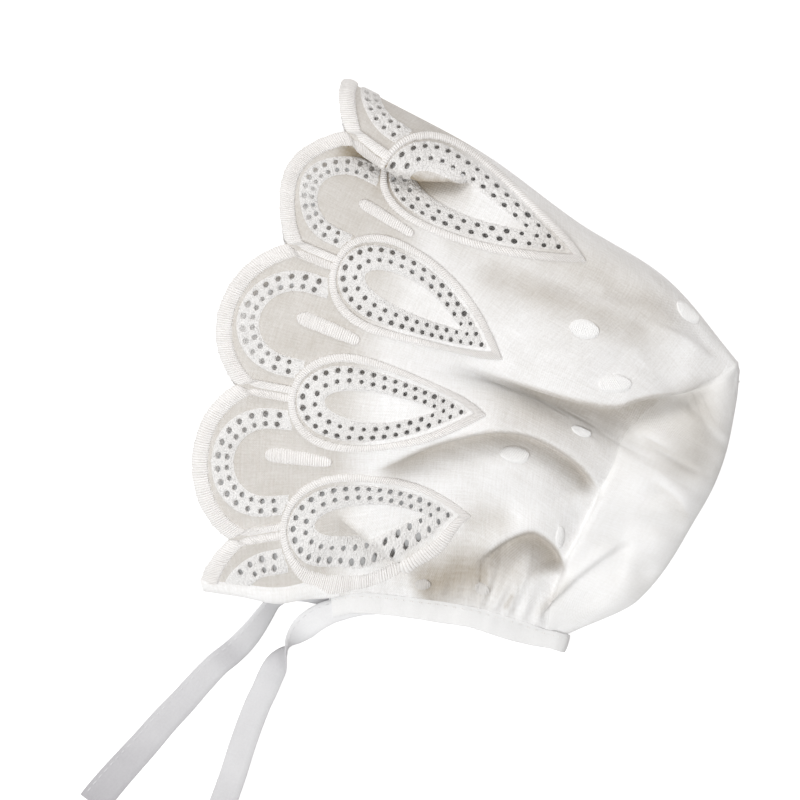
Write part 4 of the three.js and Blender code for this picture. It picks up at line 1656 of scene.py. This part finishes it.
@dataclass
class Crown:
    """The plain crown behind the lace, with its embroidered dots, gathered into the back seam."""

    net: Net
    cloth: LaidCloth
    rows: int = 76
    cell: float = 0.8
    seam_gap: float = 0.1
    dot_stitch: SatinStitch = SatinStitch(rib=0.6, rise=0.7, ripple=0.14, ragged=0.12, under=0.42)
    dot_points: int = 33
    dot_end: float = 0.97
    dots: tuple[Dot, ...] = (
        Dot(16, 119.5, -29, 5.8, 3.6), Dot(49, 93, -41, 4.7, 4.9), Dot(65, 113, -51, 5.4, 3.9),
        Dot(137, 92, -34, 5.5, 3.4), Dot(112, 112.5, -47, 4.6, 2.8),
        Dot(162, 112, -88, 4.4, 1.6), Dot(189.5, 84.5, -5, 2.4, 1.3, True),
        Dot(190.5, 64.5, -6, 2.4, 1.4, True),
    )

    def build(self) -> None:
        """Make the crown's cloth and its dots."""
        self._cloth()
        for half in Half:
            self._dots(half)

    def _cloth(self) -> None:
        """One sheet from the lace to the back seam, over both halves."""
        across = np.linspace(-HALF_EDGE, HALF_EDGE, round(2 * HALF_EDGE / self.cell) + 1)
        share = np.linspace(0, 1, self.rows + 1)
        a, s = np.meshgrid(across, share, indexing="ij")
        depth = LACE_END + (self.cloth.reach(a) - LACE_END - self.seam_gap) * s
        form = thin_sheet(self.net, stacked(a.ravel(), depth.ravel()), strip_faces(*a.shape))
        made = facing_out(form).build("crown_cloth", (BATISTE,))
        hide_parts("crown_panel")

    def _dots(self, half: Half) -> None:
        """The embroidered dots of one half, as one piece each."""
        for number, dot in enumerate(self.dots, start=1):
            t = np.sin(np.linspace(-1, 1, self.dot_points) * np.pi / 2 * self.dot_end)
            width = dot.half_width * np.sqrt(1 - t ** 2)
            way = np.array([math.sin(math.radians(dot.turn)), math.cos(math.radians(dot.turn))])
            side = np.array([way[1], -way[0]])
            middle = np.array([dot.across, dot.depth]) + way * (t * dot.half_length)[:, None]
            flip = np.array([half.value, 1])
            outer = (middle - side * width[:, None]) * flip
            inner = (middle + side * width[:, None]) * flip
            form = facing_out(self.dot_stitch.form(self.net, outer, inner, False, Seed.DOTS + number))
            finish = GATHERED_SATIN if dot.sunk else DOT_SATIN
            made = form.build(f"crown_dot_{half.label}_{number}", (finish,))


@dataclass
class BackPanel:
    """The plain panel at the back of the head, folded down its middle, and the seam round it."""

    cloth: LaidCloth
    net: Net
    crease: float = 2.0
    crease_size: float = 9.0
    crease_rows: float = 26.0
    fullness: float = 1.15
    steepest: float = 2.2
    folds_start: float = 0.05
    folds_ease: float = 0.35
    seam_ease: float = 0.25
    half_width: float = 28.0
    columns: int = 91
    seam_points: int = 520
    seam_offset: Pair = (-0.3, -0.2)
    seam_size: Pair = (0.6, 0.22)
    seam_pucker: Pair = (0.2, 3.0)

    def point(self, across: Array, share: Array) -> Array:
        """Outer face of the folded panel.

        Args:
            across: Distances along the seam from the top, on either half.
            share: From -1 on the lower half's seam over 0 on the fold to 1 on the upper half's seam.

        Returns:
            Plan and height in millimetres, as the lines give them.
        """
        fold = spline_points(STATIONS, [line.back for line in LINES], across)
        reach = self.cloth.reach(across)
        upper = share > 0
        place = np.where(share >= 0, across, -across)
        smooth = self.cloth.smooth_point(place, reach)
        away = np.abs(share)
        width = np.hypot(smooth[..., 0] - fold[..., 0], smooth[..., 1] - fold[..., 1])
        side = np.where(share >= 0, 1.0, -1.0)
        plan = blend(0.0, 1.0, 0.0, self.fullness, away)[..., None]
        rise = np.abs(smooth[..., 2] - fold[..., 2])
        climb = side * np.minimum(FOLD_STEEPNESS * width, self.steepest * rise)
        flat = fold[..., :2] + (smooth[..., :2] - fold[..., :2]) * plan
        z = blend(fold[..., 2], smooth[..., 2], climb, np.zeros_like(away), away)
        soft = smooth_step((away - self.folds_start) / self.folds_ease) * upper
        creases = soft_noise(across, share * self.crease_rows, self.crease_size, Seed.CREASES)
        z = z + self.crease * creases * 4 * away * (1 - away) * upper
        panel = np.concatenate([flat, z[..., None]], axis=-1)
        shift = fold_shift(flat[..., 0], flat[..., 1])
        seam_shift = fold_shift(smooth[..., 0], smooth[..., 1]) * upper[..., None]
        left_over = self.cloth.point(place, reach) - smooth - seam_shift
        at_seam = smooth_step((away - (1 - self.seam_ease)) / self.seam_ease)
        panel += shift * soft[..., None] + left_over * at_seam[..., None]
        return panel

    def build(self) -> None:
        """Make the panel and the seam that joins it to the crown."""
        across = np.arange(0, HALF_EDGE + CELL / 2, CELL)
        share = np.linspace(-1, 1, self.columns)
        a, s = np.meshgrid(across, share, indexing="ij")
        panel = Net(across, share, self.point(a, -s))
        form = thin_sheet(panel, stacked(a.ravel(), s.ravel()), strip_faces(*a.shape))
        form.measures = form.measures * (1, self.half_width)
        made = facing_out(form).build("back_cloth", (BACK_CLOTH,))
        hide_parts("back_panel")
        self._seam()

    def _seam(self) -> None:
        """Rolled seam between the crown and the panel."""
        across = np.linspace(-HALF_EDGE, HALF_EDGE, self.seam_points)
        turn = np.linspace(0, 2 * np.pi, 8, endpoint=False)
        share, length = self.seam_pucker
        pucker = (1 + share * soft_noise(across, across * 0, length, Seed.SEAM))[:, None]
        inward, sunk = self.seam_offset
        half_width, half_height = self.seam_size
        depth = self.cloth.reach(across)[:, None] + inward + np.cos(turn) * half_width * pucker
        height = sunk + np.sin(turn) * half_height * pucker
        across, depth = np.broadcast_arrays(across[:, None], depth)
        rings = self.net.at(across, depth, height)
        measures = stacked(across, depth)
        made = facing_out(capped_tube(rings, measures)).build("back_seam", (BACK_CLOTH,))


# ---- tapes and stitches ----
STITCH_LENGTH = 1.9
STITCH_GAP = 0.9
STITCH_SIDES = 6
STITCH_SECTIONS = ((0.25, -0.35), (0.9, 0.1), (1.0, 0.25), (0.9, 0.1), (0.25, -0.35))


def stitch_row(path: Array, up: Array, thick: float) -> Form:
    """Running stitches along a path.

    Args:
        path: Points in millimetres, in the lines' plan coordinates.
        up: Outward directions at the points.
        thick: Thickness of the thread.

    Returns:
        All the stitches as one form.
    """
    along = distances(path)
    turn = np.linspace(0, 2 * np.pi, STITCH_SIDES, endpoint=False)
    fat, lifted = np.array(STITCH_SECTIONS).T
    radius = (thick / 2 * fat)[:, None, None]
    points, faces = [], []
    count = 0
    begin = STITCH_GAP
    while begin + STITCH_LENGTH < along[-1]:
        wanted = begin + STITCH_LENGTH * np.linspace(0, 1, len(fat))
        centre = read_line(path, along, wanted)
        lift = unit(read_line(up, along, wanted))
        side = unit(np.cross(unit(np.gradient(centre, axis=0)), lift))
        ring = (centre[:, None] + lift[:, None] * (lifted * thick)[:, None, None]
                + side[:, None] * (np.cos(turn)[None, :, None] * radius)
                + lift[:, None] * (np.sin(turn)[None, :, None] * radius))
        form = capped_tube(ring, np.zeros((*ring.shape[:2], 2)))
        points.append(form.points)
        faces.append(form.faces + count)
        count += len(form.points)
        begin += STITCH_LENGTH + STITCH_GAP
    joined = np.concatenate(points)
    return Form((joined - PLAN_CENTRE) * MM, np.concatenate(faces), joined[:, :2])


TAPE_SECTION = (
    (-1, 0), (-0.93, 0.72), (-0.6, 0.92), (-0.2, 1), (0.2, 1), (0.6, 0.92), (0.93, 0.72), (1, 0),
    (0.93, -0.72), (0.5, -0.9), (0, -0.95), (-0.5, -0.9), (-0.93, -0.72),
)
HEM_SECTION = (
    (-0.3, -0.2), (0.1, 0.75), (1.0, 1.35), (2.4, 1.3), (3.6, 0.8), (4.2, -0.05), (3.9, -0.5), (2.2, -0.7),
    (0.2, -0.75),
)


def tape_form(middle: Array, wide: Array, up: Array, width: Array, thickness: Array | float) -> Form:
    """Folded cotton tape swept along a route.

    Args:
        middle: Points of its middle in millimetres.
        wide: Directions across it.
        up: Directions out of its face.
        width: Its width at each point.
        thickness: Its thickness, the same all along or at each point.

    Returns:
        The closed form.
    """
    sideways, outward = np.array(TAPE_SECTION, float).T
    across = sideways * width[:, None] / 2
    out = outward * np.broadcast_to(np.asarray(thickness, float), width.shape)[:, None] / 2
    rings = middle[:, None] + wide[:, None] * across[..., None] + up[:, None] * out[..., None]
    measures = stacked(*np.broadcast_arrays(distances(middle)[:, None], across))
    return facing_out(capped_tube((rings - PLAN_CENTRE) * MM, measures))


@dataclass
class NeckBinding:
    """The folded tape that binds the gathered neck edge, with its stitches, and the corner hems."""

    cloth: LaidCloth
    net: Net
    width: float = 7.4
    thickness: float = 2.3
    start: float = 34.0
    past_end: float = 2.6
    seam_gap: float = 0.6
    cloth_inside: float = 1.4
    sunk: float = 0.3
    floor_gap: float = 0.2
    end_rise: float = 0.6
    end_start: float = 104.0
    end_ease: float = 8.0
    stations: int = 90
    turn_points: int = 24
    tuck_reach: float = 14.0
    tuck_ease: float = 12.0
    tuck_width: Pair = (0.84, 0.16)
    tip_length: float = 15.0
    tip_width: Pair = (0.9, 0.1)
    tip_thickness: float = 0.5
    tip_drop: float = 0.9
    bend: Pair = (0.22, 3.1)
    width_drift: Pair = (0.45, 9.0)
    row_inset: float = 1.4
    row_depth: float = 0.12
    thread: float = 0.32
    hem_start: float = -11.0
    hem_overlap: float = 3.0
    hem_taper: float = 12.0
    hem_tip: float = 0.25

    def _edge(self, half: Half, depth: Array) -> tuple[Array, Array, Array]:
        """Middle, width direction and outward direction of the tape along one half."""
        plain = LaidCloth(crumple=0.0, gathered=False)
        full = np.full_like(depth, HALF_EDGE)
        middle = plain.point(full * half.value, depth)
        run = plain.point(full, depth + 1) - plain.point(full, depth - 1)
        run[:, 2] = 0
        run = unit(run)
        away = stacked(run[:, 1], -run[:, 0], np.zeros(len(run)))
        place = middle + away * (self.seam_gap + self.width / 2 - self.cloth_inside)
        climb = self.end_rise * smooth_step((depth - self.end_start) / self.end_ease)
        place[:, :2] -= away[:, :2] * climb[:, None]
        place[:, 2] = middle[:, 2] - self.sunk if half is Half.LEFT else self.thickness / 2 + self.floor_gap
        up = np.zeros_like(place)
        up[:, 2] = half.value
        return place, -away, up

    def build(self) -> None:
        """Make the tape, its row of stitches and the corner hems."""
        depth = np.linspace(self.start, LINES[-1].reach + self.past_end, self.stations)
        upper, upper_wide, upper_up = self._edge(Half.LEFT, depth)
        lower, lower_wide, lower_up = self._edge(Half.RIGHT, depth)
        radius = (upper[-1, 2] - lower[-1, 2]) / 2
        centre = (upper[-1] + lower[-1]) / 2
        run = np.array([upper_wide[-1, 1], -upper_wide[-1, 0], 0])
        angle = np.linspace(0, np.pi, self.turn_points + 2)[1:-1]
        turn_up = np.outer(np.cos(angle), (0, 0, 1)) + np.outer(np.sin(angle), run)
        turn = centre + turn_up * radius
        middle = np.concatenate([upper, turn, lower[::-1]])
        wide = np.concatenate([upper_wide, np.broadcast_to(upper_wide[-1], turn.shape), lower_wide[::-1]])
        up = np.concatenate([upper_up, turn_up, lower_up[::-1]])
        order = np.arange(len(middle), dtype=float)
        middle = middle + up * self._uneven(order, self.bend, Seed.TAPE_BEND)[:, None]
        from_turn = np.abs(order - (self.stations + self.turn_points / 2))
        tuck = smooth_step((from_turn - self.tuck_reach) / self.tuck_ease)
        tip = smooth_step(np.minimum(order, len(order) - 1 - order) / self.tip_length)
        width = self.width + self._uneven(order, self.width_drift, Seed.TAPE_WIDTH)
        for (narrow, gain), share in ((self.tuck_width, tuck), (self.tip_width, tip)):
            width = width * (narrow + gain * share)
        thickness = self.tip_thickness + (self.thickness - self.tip_thickness) * tip
        middle[:, 2] -= self.tip_drop * (1 - tip) * (order < self.stations)
        made = tape_form(middle, wide, up, width, thickness).build("neck_tape", (TAPE,))
        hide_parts("neck_binding")
        row = (middle + wide * (width / 2 - self.row_inset)[:, None]
               + up * (thickness / 2 - self.row_depth)[:, None])
        stitches = stitch_row(row, up, self.thread).build("neck_tape_stitches", (SATIN,))
        for half in Half:
            self._corner_hem(half)

    @staticmethod
    def _uneven(order: Array, drift: Pair, seed: int) -> Array:
        """Slow drift along the tape, by an amount and over a number of stations."""
        return drift[0] * soft_noise(order, order * 0, drift[1], seed)

    def _corner_hem(self, half: Half) -> None:
        """Narrow turned hem from the front corner to the binding."""
        end = self.start + self.hem_overlap
        depth = np.linspace(self.hem_start, end, 60)
        inward, height = np.array(HEM_SECTION).T
        taper = (self.hem_tip + (1 - self.hem_tip) * smooth_step((end - depth) / self.hem_taper))[:, None]
        across = (HALF_EDGE - inward * taper) * half.value
        deep = np.broadcast_to(depth[:, None], across.shape)
        rings = self.net.at(across, deep, height * taper)
        measures = stacked(deep, across)
        made = facing_out(capped_tube(rings, measures)).build(f"corner_hem_{half.label}", (BATISTE,))


@dataclass(frozen=True)
class TieRoute:
    """One tie: the route of its tape's middle, and along it its roll, its width and its painted shade, which
    paints it lighter where negative.
    """

    name: str
    node: str
    points: tuple[Triple, ...]
    rolls: tuple[Pair, ...]
    widths: tuple[Pair, ...]
    shade_along: tuple[Pair, ...]


TIES = (
    TieRoute(
        "tie_tape_left", "tie_left",
        ((-9.3, -84.4, 9.2), (-13, -85.5, 9.1), (-16.9, -87.2, 9.0), (-20.3, -89, 8.9),
         (-23.6, -91, 8.9), (-27.9, -95.2, 8.3), (-31.6, -101.2, 7.0), (-33.8, -107.0, 6.0),
         (-35.1, -111.4, 4.6), (-36.2, -116, 2.8), (-36.9, -121, 1.4), (-38, -127.1, 0.8),
         (-39.1, -139.1, 0.8), (-39.6, -151.2, 0.8), (-40.6, -164.5, 0.8)),
        ((0, 0), (0.24, 4), (0.32, 50), (0.37, 100), (0.45, 168), (0.52, 180), (1, 180)),
        ((0, 6.4), (0.1, 7.2), (0.2, 8.4), (0.3, 8.6), (0.45, 8.6), (1, 9.0)),
        ((0, -0.9), (0.18, -0.5), (0.32, -0.2), (0.39, 1.1), (0.47, 0.5), (0.7, 0.3), (1, 0.7)),
    ),
    TieRoute(
        "tie_tape_right", "tie_right",
        ((-24.5, -85.5, 4.6), (-29, -86, 4.7), (-34, -87, 4.8), (-38.4, -88.9, 4.8),
         (-41.6, -92.2, 4.7), (-43.4, -96.7, 4.4), (-45, -101.2, 4.0), (-47.6, -107.2, 3.4),
         (-50.8, -112.6, 2.6), (-54.3, -117.4, 2.0), (-58.4, -125, 1.3), (-61.8, -131.9, 0.9),
         (-66.3, -140.4, 0.8), (-70.6, -149.4, 0.8), (-75.6, -159.3, 0.8), (-79.4, -167.3, 0.8),
         (-81.6, -172.6, 0.8)),
        ((0, 25), (0.1, 45), (0.18, 55), (0.24, 42), (0.33, 24), (0.44, 14), (0.6, 4), (1, 0)),
        ((0, 8.4), (0.3, 8.6), (0.45, 8.6), (0.7, 9.4), (1, 10.6)),
        ((0, 0.9), (0.22, 0.2), (0.32, 0.3), (0.38, 1.1), (0.46, 0.6), (0.75, 1.1), (1, 1.9)),
    ),
)


@dataclass
class Ties:
    """The two flat cotton ties."""

    thickness: float = 1.0
    width: float = 9.0
    stations: int = 130
    floor_gap: float = 0.1
    row_inset: float = 1.3
    row_depth: float = 0.05
    thread: float = 0.3

    def build(self) -> None:
        for route in TIES:
            self._tie(route)

    def _tie(self, route: TieRoute) -> None:
        """Make one tie."""
        along = distances(np.array(route.points))
        fine = np.linspace(0, along[-1], 600)
        middle = resample(spline_points(along, route.points, fine), self.stations)
        share = np.linspace(0, 1, self.stations)
        run = unit(np.gradient(middle, axis=0))
        flat = unit(stacked(run[:, 1], -run[:, 0], np.zeros(len(run))))
        over = unit(np.cross(run, flat))
        over = over * np.sign(over[:, 2:])
        roll = np.radians(spline(*zip(*route.rolls), share))[:, None]
        wide = flat * np.cos(roll) + over * np.sin(roll)
        up = over * np.cos(roll) - flat * np.sin(roll)
        width = spline(*zip(*route.widths), share)
        lowest = np.abs(np.sin(roll[:, 0])) * width / 2 + self.thickness / 2 + self.floor_gap
        middle[:, 2] = np.maximum(middle[:, 2], lowest)
        form = tape_form(middle, wide, up, width, self.thickness)
        # Painted shade along the tie, at shares of its length; negative values paint it lighter.
        tie_shade = spline(*zip(*route.shade_along), share)
        form.painted_shade = np.interp(form.measures[:, 0], share * run_length(middle), tie_shade)
        made = form.build(route.name, (TIE_TAPE,))
        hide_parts(route.node)
        row = (middle + wide * (width / 2 - self.row_inset)[:, None]
               + up * (self.thickness / 2 - self.row_depth))
        stitches = stitch_row(row, up, self.thread).build(f"{route.name}_stitches", (TIE_TAPE,))
        LOG.info("%s: %.1f mm long", route.name, run_length(middle))


# ---- studio ----
@dataclass(frozen=True)
class Lamp:
    """A square soft light that looks at the bonnet."""

    name: str
    place: Triple
    size: float
    power: float
    colour: Triple

    def build(self) -> None:
        """Hang the light."""
        data = bpy.data.lights.new(self.name, "AREA")
        data.size = self.size
        data.energy = self.power
        data.color = self.colour
        made = bpy.data.objects.new(self.name, data)
        made.location = self.place
        made.rotation_euler = (-Vector(self.place)).to_track_quat("-Z", "Y").to_euler()
        bpy.context.scene.collection.objects.link(made)


@dataclass
class Studio:
    """Camera from above, pale floor, even sky, a large soft light at the front and a weak warm one."""

    turn: float = 15.35
    aim: Pair = (-0.0212, -0.0091)
    height: float = 1.5
    frame_width: float = 0.264
    sensor: float = 36.0
    floor_reach: float = 2.5
    floor_drop: float = 0.0006
    floor_tones: Pair = (0.78, 0.80)
    floor_grain: float = 40.0
    floor_glow: float = 0.7
    cover: float = 0.006
    open_share: Pair = (0.05, 0.35)
    sky: Triple = (1.0, 0.981, 0.966)
    sky_strength: float = 0.49
    lamps: tuple[Lamp, ...] = (
        Lamp("window", (-0.28, -0.47, 1.0), 0.5, 7.0, (0.985, 0.995, 1.0)),
        Lamp("wall", (-0.22, 0.92, 0.62), 0.6, 3.4, (1.0, 0.97, 0.945)),
    )

    def camera(self) -> None:
        """Camera that looks straight down."""
        data = bpy.data.cameras.new("camera")
        data.sensor_width = self.sensor
        data.lens = self.sensor * self.height / self.frame_width
        made = bpy.data.objects.new("camera", data)
        made.location = (*self.aim, self.height)
        made.rotation_euler = (0, 0, math.radians(self.turn))
        bpy.context.scene.collection.objects.link(made)
        bpy.context.scene.camera = made

    def floor(self) -> None:
        """Wide pale floor, which glows a little where nothing stands close above it."""
        mesh = bpy.data.meshes.new("floor")
        corners = [(x * self.floor_reach, y * self.floor_reach, 0)
                   for x, y in ((-1, -1), (1, -1), (1, 1), (-1, 1))]
        mesh.from_pydata(corners, [], [(0, 1, 2, 3)])
        mesh.materials.append(self._floor_finish())
        made = bpy.data.objects.new("floor", mesh)
        made.location = (0, 0, -self.floor_drop)
        bpy.context.scene.collection.objects.link(made)

    def _floor_finish(self) -> bpy.types.Material:
        """Build the floor's material."""
        material = bpy.data.materials.new("floor")
        material.use_nodes = True
        desk = NodeDesk(material.node_tree)
        shader = next(node for node in material.node_tree.nodes if node.type == "BSDF_PRINCIPLED")
        grain = desk.add("ShaderNodeTexNoise", {"Scale": self.floor_grain}).outputs[0]
        dark, light = ((tone, tone, tone, 1) for tone in self.floor_tones)
        tone = desk.add("ShaderNodeMix", {0: grain, 6: dark, 7: light}, data_type="RGBA").outputs[2]
        desk.tree.links.new(tone, shader.inputs["Base Color"])
        shader.inputs["Roughness"].default_value = 0.9
        shader.inputs["Specular IOR Level"].default_value = 0.0
        open_sky = desk.add("ShaderNodeAmbientOcclusion", {"Distance": self.cover}, samples=12).outputs["AO"]
        covered, clear = self.open_share
        lit = desk.add("ShaderNodeMapRange",
                       {"Value": open_sky, "From Min": covered, "From Max": clear}).outputs[0]
        seen = desk.add("ShaderNodeLightPath").outputs["Is Camera Ray"]
        share = desk.math("MULTIPLY", lit, seen)
        black, white = (0, 0, 0, 1), (1, 1, 1, 1)
        glow = desk.add("ShaderNodeMix", {0: share, 6: black, 7: white}, data_type="RGBA").outputs[2]
        desk.tree.links.new(glow, shader.inputs["Emission Color"])
        shader.inputs["Emission Strength"].default_value = self.floor_glow
        return material

    def lights(self) -> None:
        """Even sky, a little warm, and the lamps."""
        world = bpy.data.worlds.new("sky")
        world.use_nodes = True
        background = world.node_tree.nodes["Background"]
        background.inputs["Color"].default_value = (*self.sky, 1)
        background.inputs["Strength"].default_value = self.sky_strength
        bpy.context.scene.world = world
        for lamp in self.lamps:
            lamp.build()

    def build(self) -> None:
        """Set up floor and lights."""
        self.floor()
        self.lights()
        bpy.context.scene.view_settings.view_transform = "Standard"


def main() -> None:
    """Build the bonnet and its studio."""
    logging.basicConfig(level=logging.INFO, format="%(name)s: %(message)s")
    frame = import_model()
    LOG.info("frame loaded: %d nodes", len(frame["nodes"]))
    studio = Studio()
    studio.camera()
    for make_group in (plain_weave, satin_floss, stitched_ground, washed_tone):
        make_group()
    Ties().build()
    cloth = LaidCloth()
    net = cloth.net()
    LOG.info("laid cloth sampled")
    BackPanel(cloth, net).build()
    Crown(net, cloth).build()
    NeckBinding(cloth, net).build()
    LaceFront(net).build()
    studio.build()


if __name__ == "__main__":
    main()
